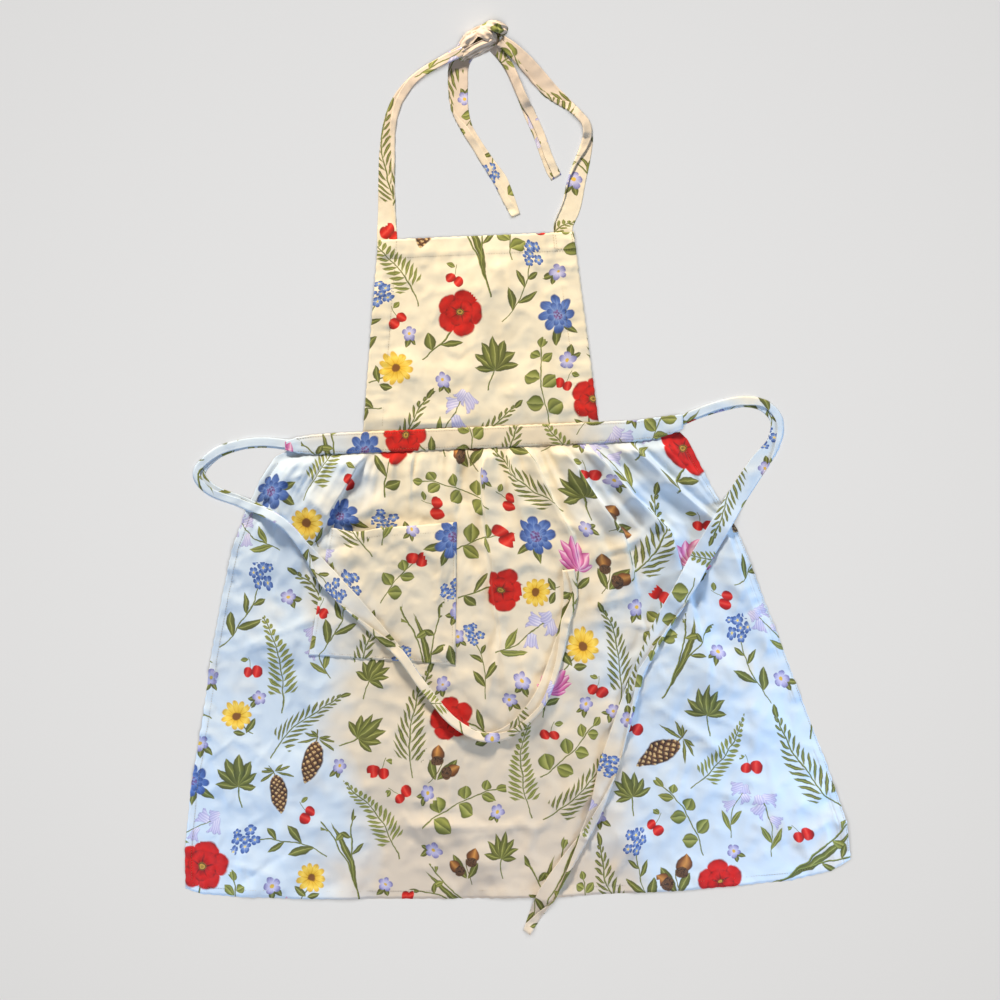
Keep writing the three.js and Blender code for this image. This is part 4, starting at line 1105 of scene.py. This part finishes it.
def sewPanels():
    steps = np.linspace(0, 1, 240)
    run = stitchSizes["run"]
    edge = bandSizes["stitchInset"] / bandSizes["height"]
    sew("stitches_waistband", [seam(placeBand, (0.03, 0.97), at) for at in (edge, 1 - edge)])
    size = bibSizes
    inset = size["hem"] - run
    top = 1 - inset / (size["height"] + size["tuck"])
    rows = 0.06 + (1 - 0.06) * steps
    share = inset / (size["bottomWidth"] + (size["topWidth"] - size["bottomWidth"]) * rows)
    sew("stitches_bib", [seam(placeBib, (0.01, 0.99), top), seam(placeBib, share, rows),
                         seam(placeBib, 1 - share, rows)])
    left = 1 - stitchSizes["strap"] / size["topWidth"]
    right = 1 - stitchSizes["strapInset"] / size["topWidth"]
    low = 1 - stitchSizes["strapDrop"] / (size["height"] + size["tuck"])
    rise = (low, stitchSizes["strapTop"])
    sew("stitches_strap", [seam(placeBib, left, rise, 60), seam(placeBib, right, rise, 60),
                           seam(placeBib, (left, right), low, 60)])
    size = skirtSizes
    inset = size["hem"] - run
    total = size["length"] + size["tuck"]
    rows = 0.03 + 0.95 * steps
    down = rows * total / size["length"] - size["tuck"] / size["length"]
    share = inset / (skirtEdge(down, "right") - skirtEdge(down, "left"))
    low = 1 - inset / total
    sew("stitches_skirt", [seam(placeSkirt, share, rows), seam(placeSkirt, 1 - share, rows),
                           seam(placeSkirt, (0.012, 0.988), low, 420)])
    size = pocketSizes
    side, foot = size["seam"] / size["mouth"], size["seam"] / size["depth"]
    mouth = 1 - (size["hem"] - run) / size["depth"]
    sew("stitches_pocket", [seam(placePocket, (side, 1 - side), mouth), seam(placePocket, (side, 1 - side), foot),
                            seam(placePocket, side, (foot, 0.99)), seam(placePocket, 1 - side, (foot, 0.99))])


sewPanels()
print("stitches made")

# Ties: tape along a route, folded lengthwise where less than its width shows
tieSizes = dict(width=24, bend=0.45, step=3.0, columns=16, flatFrom=0.96, folded=0.52, crown=0.35, spring=0.035)
waistLengths = dict(left=852, right=827, tuck=11)
neckSizes = dict(rise=236, knotX=18, knotLength=64, knotWidth=28, knotHeight=17, leftEnd=223, rightEnd=186)
neckLeftRoute = dict(
    x=[-1.01, -1.01, -1, -0.99, -0.972, -0.944, -0.9, -0.826, -0.688, -0.5, -0.3, -0.093, 0.07],
    y=[-0.04, 0.03, 0.16, 0.3, 0.424, 0.546, 0.63, 0.706, 0.785, 0.849, 0.893, 0.937, 0.965],
    lift=[0, 0, 0, 0, 0, 0, 0, 0, 0, 0.08, 0.25, 0.38, 0.4],
    width=[1.0, 1.0, 0.86, 0.82, 0.8, 0.7, 0.64, 0.58, 0.52, 0.48, 0.5, 0.55, 0.5],
)
neckRightRoute = dict(
    x=[1, 1, 1.1, 1.176, 1.234, 1.293, 1.323, 1.305, 1.23, 1.13, 1.049, 0.92, 0.79, 0.65, 0.5, 0.37],
    y=[-0.04, 0.03, 0.13, 0.262, 0.342, 0.423, 0.494, 0.549, 0.594, 0.64, 0.671, 0.722, 0.79, 0.866, 0.937,
       0.985],
    lift=[0, 0, 0, 0, 0, 0, 0, 0, 0, 0, 0, 0, 0.08, 0.25, 0.4, 0.42],
    width=[0.95, 0.95, 0.95, 0.9, 0.8, 0.62, 0.5, 0.46, 0.46, 0.5, 0.64, 0.8, 0.85, 0.8, 0.7, 0.6],
)
neckEndLeftRoute = dict(
    x=[0, -0.06, -0.073, -0.067, -0.035, 0.025, 0.081, 0.132, 0.176, 0.21],
    y=[0, -0.08, -0.2, -0.33, -0.43, -0.54, -0.634, -0.717, -0.827, -0.915],
    lift=[0, 0, 0, 0, 0, 0, 0, 0, 0, 0],
    width=[0.8, 1.0, 1.0, 0.85, 0.6, 0.58, 0.64, 0.72, 0.62, 0.46],
)
neckEndRightRoute = dict(
    x=[0, 0.123, 0.205, 0.258, 0.31, 0.35, 0.385, 0.409],
    y=[0, -0.161, -0.365, -0.496, -0.628, -0.759, -0.858, -0.904],
    lift=[0, 0, 0, 0, 0, 0, 0, 0],
    width=[0.5, 0.5, 0.45, 0.58, 0.58, 0.58, 0.6, 0.58],
)
waistLeftRoute = dict(
    x=[0, -0.045, -0.076, -0.112, -0.136, -0.122, -0.07, -0.02, 0.008, 0.039, 0.073, 0.11, 0.138,
       0.168, 0.21, 0.25, 0.285, 0.326, 0.352, 0.371, 0.38, 0.378],
    y=[0, 0.006, 0.004, -0.008, -0.034, -0.056, -0.08, -0.108, -0.143, -0.188, -0.226, -0.269, -0.302,
       -0.348, -0.4, -0.422, -0.415, -0.377, -0.325, -0.264, -0.225, -0.191],
    width=[0.52, 0.52, 0.52, 0.55, 0.62, 0.6, 0.56, 0.45, 0.52, 1, 0.92, 0.66, 0.45, 0.42, 0.42, 0.45,
           0.62, 0.75, 0.68, 0.5, 0.72, 0.6],
)
waistRightRoute = dict(
    x=[0, 0.036, 0.073, 0.107, 0.134, 0.15, 0.144, 0.121, 0.066, 0.014, -0.038, -0.065, -0.086, -0.115,
       -0.137, -0.156, -0.182, -0.213, -0.244],
    y=[0, 0.014, 0.024, 0.028, 0.02, -0.002, -0.033, -0.063, -0.141, -0.223, -0.304, -0.355, -0.41,
       -0.49, -0.555, -0.594, -0.63, -0.674, -0.728],
    width=[0.52, 0.52, 0.55, 0.53, 0.6, 0.62, 0.7, 0.95, 1.02, 1.05, 0.8, 0.6, 0.8, 1, 0.65, 0.5, 0.75,
           0.95, 0.4],
)


def routePoint(points, share):
    count = len(points) - 1
    place = min(share * count, count - 1e-6)
    index = int(place)
    a = 2 * points[0] - points[1] if index == 0 else points[index - 1]
    b, c = points[index], points[index + 1]
    d = 2 * points[-1] - points[-2] if index + 2 > count else points[index + 2]
    gaps = [max(np.linalg.norm(q - p), 1e-4) ** 0.5 for p, q in ((a, b), (b, c), (c, d))]
    slopeB = ((b - a) / gaps[0] - (c - a) / (gaps[0] + gaps[1]) + (c - b) / gaps[1]) * gaps[1]
    slopeC = ((c - b) / gaps[1] - (d - b) / (gaps[1] + gaps[2]) + (d - c) / gaps[2]) * gaps[1]
    t = place - index
    return ((2 * t ** 3 - 3 * t ** 2 + 1) * b + (t ** 3 - 2 * t ** 2 + t) * slopeB
            + (3 * t ** 2 - 2 * t ** 3) * c + (t ** 3 - t ** 2) * slopeC)


# Section of the tape: flat where all of its width shows, else folded over lengthwise, and tilted past half
def tapeSection(q, share, side):
    width, radius = tieSizes["width"], tieSizes["bend"]
    length = (q + 1) / 2 * width
    if share > tieSizes["flatFrom"]:
        flatX = (length - width / 2) * share
        return flatX * side, tieSizes["crown"] * (1 - q ** 2)
    shown = width * max(share, tieSizes["folded"])
    start = shown - radius
    angle = np.clip((length - start) / radius, 0, np.pi)
    back = np.maximum(length - start - np.pi * radius, 0)
    x = np.minimum(length, start) + radius * np.sin(angle) - back - shown / 2
    z = radius * (1 - np.cos(angle)) + tieSizes["spring"] * back
    tilt = math.acos(min(1, share / tieSizes["folded"]))
    turnedX = x * math.cos(tilt) - z * math.sin(tilt)
    turnedZ = x * math.sin(tilt) + z * math.cos(tilt)
    return turnedX * side, turnedZ - turnedZ.min()


def makeTape(name, route, start, reach, ground, seed, side=1):
    rows = len(route["x"])
    points = np.array([(start[0] + x * reach[0], start[1] + y * reach[1]) for x, y in zip(route["x"], route["y"])])
    shares = np.linspace(0, 1, 400)
    fine = np.array([routePoint(points, share) for share in shares])
    lengths = np.concatenate([[0], np.cumsum(np.linalg.norm(np.diff(fine, axis=0), axis=1))])
    steps = max(8, round(lengths[-1] / tieSizes["step"]))
    places = np.linspace(0, lengths[-1], steps + 1)
    share = np.interp(places, lengths, shares)
    centre = np.stack([np.interp(places, lengths, fine[:, k]) for k in (0, 1)], axis=-1)
    heading = np.gradient(centre, axis=0)
    heading /= np.linalg.norm(heading, axis=1)[:, None]
    across = np.stack([heading[:, 1], -heading[:, 0]], axis=-1)
    at = share * (rows - 1)
    shown = np.interp(at, np.arange(rows), route["width"])
    q = np.linspace(-1, 1, tieSizes["columns"] + 1)
    sections = [tapeSection(q * side, value, side) for value in shown]
    sx = np.array([section[0] for section in sections])
    sz = np.array([section[1] for section in sections])
    x = centre[:, 0, None] + across[:, 0, None] * sx
    y = centre[:, 1, None] + across[:, 1, None] * sx
    if ground:
        floor = np.array([[ground(a, b) for a, b in zip(line, other)] for line, other in zip(x, y)])
        floor = np.where(floor > 0, floor + cottonSizes["gap"], 0)
        low = floor.max(axis=1)
        wide = np.array([low[max(0, i - 2):i + 3].max() for i in range(len(low))])
        soft = np.convolve(np.pad(wide, 3, mode="edge"), np.ones(7) / 7, mode="valid")
        base = np.maximum(soft, low)[:, None] + 0 * floor
    else:
        lift = np.interp(at, np.arange(rows), route["lift"]) * neckSizes["knotHeight"]
        base = lift[:, None] + 0 * sx
    v = places[:, None] + 0 * sx
    beat = 2 * np.pi * v / 11 + 4 * waves(x, y, 30, seed)
    ruffle = 0.5 * waves(x, y, 26, seed * 0.7) + 0.22 * np.sin(beat) * q ** 2
    z = base + sz + cottonSizes["tape"] + np.maximum(ruffle, -0.2) + 0.2
    z = z - 0.15 * np.exp(-((np.abs(q) - 0.8) / 0.08) ** 2)  # seam line near both edges
    u = (q * tieSizes["width"] / 2)[None, :] + 0 * sx

    def placeTape(s, t):
        row = np.rint(t * steps).astype(int)
        column = np.rint(s * tieSizes["columns"]).astype(int)
        pick = (row, column)
        return x[pick], y[pick], z[pick], u[pick] + 40 * seed, v[pick] + 100 * seed
    piece = makeSheet(name, np.linspace(0, 1, tieSizes["columns"] + 1), np.linspace(0, 1, steps + 1), placeTape,
                      cottonSizes["tape"] * 0.7, seed, slenderKinds)
    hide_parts(name)
    return piece, lengths[-1]


for side, route, word in ((-1, waistLeftRoute, "left"), (1, waistRightRoute, "right")):
    x = bandSizes["offset"] + side * (bandSizes["length"] / 2 - waistLengths["tuck"])
    y = float(bandEdge(x, "top") + bandEdge(x, "bottom")) / 2
    long = waistLengths[word]
    tie, length = makeTape("waist_tie_" + word, route, (x, y), (long, long), surfaceOf(skirt, pocket), 50 + side,
                           side=-side)
neckHalf = (bibSizes["topWidth"] - tieSizes["width"]) / 2
bibTop = bandHalf + bibSizes["height"]
knotPlace = (neckSizes["knotX"], bibTop + neckSizes["rise"])
neckStart = (bibSizes["offset"] + bibSizes["lean"], bibTop)
neckEnds = {
    "neck_end_left": dict(route=neckEndLeftRoute, x=-0.21, y=-0.36, length=neckSizes["leftEnd"], side=1),
    "neck_end_right": dict(route=neckEndRightRoute, x=0.12, y=-0.06, length=neckSizes["rightEnd"], side=-1),
}
neckTies = (("neck_tie_left", neckLeftRoute, 1, 60), ("neck_tie_right", neckRightRoute, -1, 61))
for name, route, side, seed in neckTies:
    tie, length = makeTape(name, route, neckStart, (neckHalf, neckSizes["rise"]), None, seed, side=side)
for seed, (name, end) in enumerate(neckEnds.items()):
    start = (knotPlace[0] + end["x"] * neckSizes["knotLength"], knotPlace[1] + end["y"] * neckSizes["knotWidth"])
    reach = (end["length"], end["length"])
    tie, length = makeTape(name, end["route"], start, reach, None, 70 + seed, side=end["side"])
print("ties made")

# Knot: seven wraps of tape, in the knot's own frame along its length
knotSizes = dict(tilt=24, steps=40, columns=20, floor=1.0, puff=1.9, pleat=0.9)
knotTilt = math.radians(knotSizes["tilt"])
knotWraps = [
    dict(points=[(-33, -9, 2), (-24, -9, 8), (-12, -9, 11), (2, -9, 11.5), (12, -6, 9), (16, -2, 4)], width=12, u=20),
    dict(points=[(-28, -3, 3), (-20, 2, 9), (-11, 6, 12), (-6, 8, 8), (-5, 8, 2)], width=15, u=90),
    dict(points=[(-2, 9, 2), (1, 8, 9), (6, 3, 14), (10, -4, 13), (13, -10, 6), (13, -12, 1)], width=15, u=160),
    dict(points=[(8, 12, 2), (14, 10, 10), (20, 5, 15), (26, 0, 12), (30, -4, 4), (30, -6, 1)], width=15, u=230),
    dict(points=[(-18, 9, 1), (-8, 11, 4), (6, 11, 5), (20, 11, 5), (27, 8, 2)], width=11, u=300),
    dict(points=[(-26, -12, 1), (-10, -13, 4), (6, -13, 4), (18, -12, 1)], width=11, u=370),
    dict(points=[(-14, 0, 2), (0, 0, 4), (14, 0, 5), (26, 2, 2)], width=18, u=440),
]


def makeKnot():
    pieces = []
    for index, wrap in enumerate(knotWraps):
        path = np.array(wrap["points"], dtype=float)
        steps, columns = knotSizes["steps"], knotSizes["columns"]
        line = np.array([routePoint(path, share) for share in np.linspace(0, 1, steps + 1)])
        heading = np.gradient(line, axis=0)
        heading /= np.linalg.norm(heading, axis=1)[:, None]
        hub = line * (0.75, 0.2, 0) + (0, 0, -6)
        outward = line - hub
        outward -= (outward * heading).sum(axis=1)[:, None] * heading
        outward /= np.linalg.norm(outward, axis=1)[:, None]
        across = np.cross(heading, outward)

        def placeWrap(s, t):
            row = np.rint(t * steps).astype(int)
            q = 2 * s - 1
            twist = q * 5.5 + 2.2 * np.sin(4 * t + index) + 1.5 * waves(q * 3 + index * 9, t * 20, 5, 4.5)
            pleat = np.arcsin(0.97 * np.sin(twist)) / 1.33
            rumple = 1.5 * waves(q * 9 + index * 30, t * 44, 5, 2.5 + index) + knotSizes["pleat"] * pleat
            bulge = knotSizes["puff"] * (1 - q ** 2) + rumple * (1 - q ** 6)
            points = line[row] + across[row] * (q * wrap["width"] / 2)[:, None] + outward[row] * bulge[:, None]
            points[:, 2] = np.clip(points[:, 2], knotSizes["floor"], neckSizes["knotHeight"] + 1)
            x = points[:, 0] * math.cos(knotTilt) - points[:, 1] * math.sin(knotTilt) + knotPlace[0]
            y = points[:, 0] * math.sin(knotTilt) + points[:, 1] * math.cos(knotTilt) + knotPlace[1]
            return x, y, points[:, 2], q * 12 + wrap["u"], t * 60 + 500
        pieces.append(makeSheet(f"knot_wrap_{index + 1}", evenly(columns), evenly(steps), placeWrap,
                                cottonSizes["tape"], 80 + index, slenderKinds))
    return pieces


wraps = makeKnot()
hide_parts("neck_knot")
for wrap, rule in zip(wraps, knotWraps):
    path = np.array(rule["points"], dtype=float)
    length = np.linalg.norm(np.diff(path, axis=0), axis=1).sum()
print("knot made")


# Stage: a pale floor, soft lights and the camera of the photograph
stageSizes = dict(pixel=1.2, image=1000, centre=(482.5, 437.3), turn=2.4, lens=70, sensor=36, clothTop=0.004,
                  floor=3, floorColour="#d9d9d6", airColour="#f4e7d4", air=0.24)
# Each lamp reaches the cloth or the floor alone, so the floor stays plain and even
stageLights = [
    dict(name="key", on="cloth", place=(-0.5, 2.35, 1.08), aim=(0.0, -0.05, 0.0), size=0.4, power=124,
         colour="#fff0da"),
    dict(name="skyLeft", on="cloth", place=(-0.8, -0.66, 0.32), aim=(-0.28, -0.36, 0), size=0.3, power=3.3,
         colour="#b2d9ff"),
    dict(name="skyRight", on="cloth", place=(0.9, -0.52, 0.32), aim=(0.3, -0.33, 0), size=0.3, power=6.2,
         colour="#b2d9ff"),
    dict(name="skyLow", on="cloth", place=(0.1, -1.25, 0.4), aim=(0.0, -0.5, 0), size=0.5, power=3.0,
         colour="#ffe6d2"),
    dict(name="room", on="floor", place=(0.0, 0.0, 2.4), aim=(0.0, 0.0, 0.0), size=3.0, power=84, colour="#f6f8ff"),
]


def makeStage():
    bm = bmesh.new()
    bmesh.ops.create_grid(bm, x_segments=1, y_segments=1, size=stageSizes["floor"])
    mesh = bpy.data.meshes.new("floor")
    bm.to_mesh(mesh)
    bm.free()
    floor = bpy.data.objects.new("floor", mesh)
    bpy.context.collection.objects.link(floor)
    material = bpy.data.materials.new("paleFloor")
    material.use_nodes = True
    surface = material.node_tree.nodes["Principled BSDF"]
    surface.inputs["Base Color"].default_value = tint(stageSizes["floorColour"])
    surface.inputs["Roughness"].default_value = 0.9
    mesh.materials.append(material)
    stagePieces = bpy.data.collections.new("stagePieces")
    stagePieces.objects.link(floor)
    for light in stageLights:
        data = bpy.data.lights.new(light["name"], "AREA")
        data.energy = light["power"]
        data.size = light["size"]
        data.color = tint(light["colour"])[:3]
        lamp = bpy.data.objects.new(light["name"], data)
        lamp.location = light["place"]
        lamp.rotation_euler = (Vector(light["aim"]) - Vector(light["place"])).to_track_quat("-Z", "Y").to_euler()
        bpy.context.collection.objects.link(lamp)
        lamp.light_linking.receiver_collection = clothPieces if light["on"] == "cloth" else stagePieces
    world = bpy.data.worlds.new("studio")
    world.use_nodes = True
    world.node_tree.nodes["Background"].inputs["Color"].default_value = tint(stageSizes["airColour"])
    world.node_tree.nodes["Background"].inputs["Strength"].default_value = stageSizes["air"]
    bpy.context.scene.world = world
    bpy.context.scene.view_settings.view_transform = "Standard"


def makeCamera():
    size = stageSizes
    turn = math.radians(size["turn"])
    half = size["image"] / 2
    dx, dy = half - size["centre"][0], size["centre"][1] - half
    x = (dx * math.cos(turn) + dy * math.sin(turn)) * size["pixel"] * mm
    y = (-dx * math.sin(turn) + dy * math.cos(turn)) * size["pixel"] * mm
    span = size["image"] * size["pixel"] * mm
    data = bpy.data.cameras.new("camera")
    data.lens = size["lens"]
    data.sensor_width = size["sensor"]
    camera = bpy.data.objects.new("camera", data)
    camera.location = (x, y, span * size["lens"] / size["sensor"] + size["clothTop"])
    camera.rotation_euler = (0, 0, -turn)
    bpy.context.collection.objects.link(camera)
    bpy.context.scene.camera = camera


makeStage()
makeCamera()
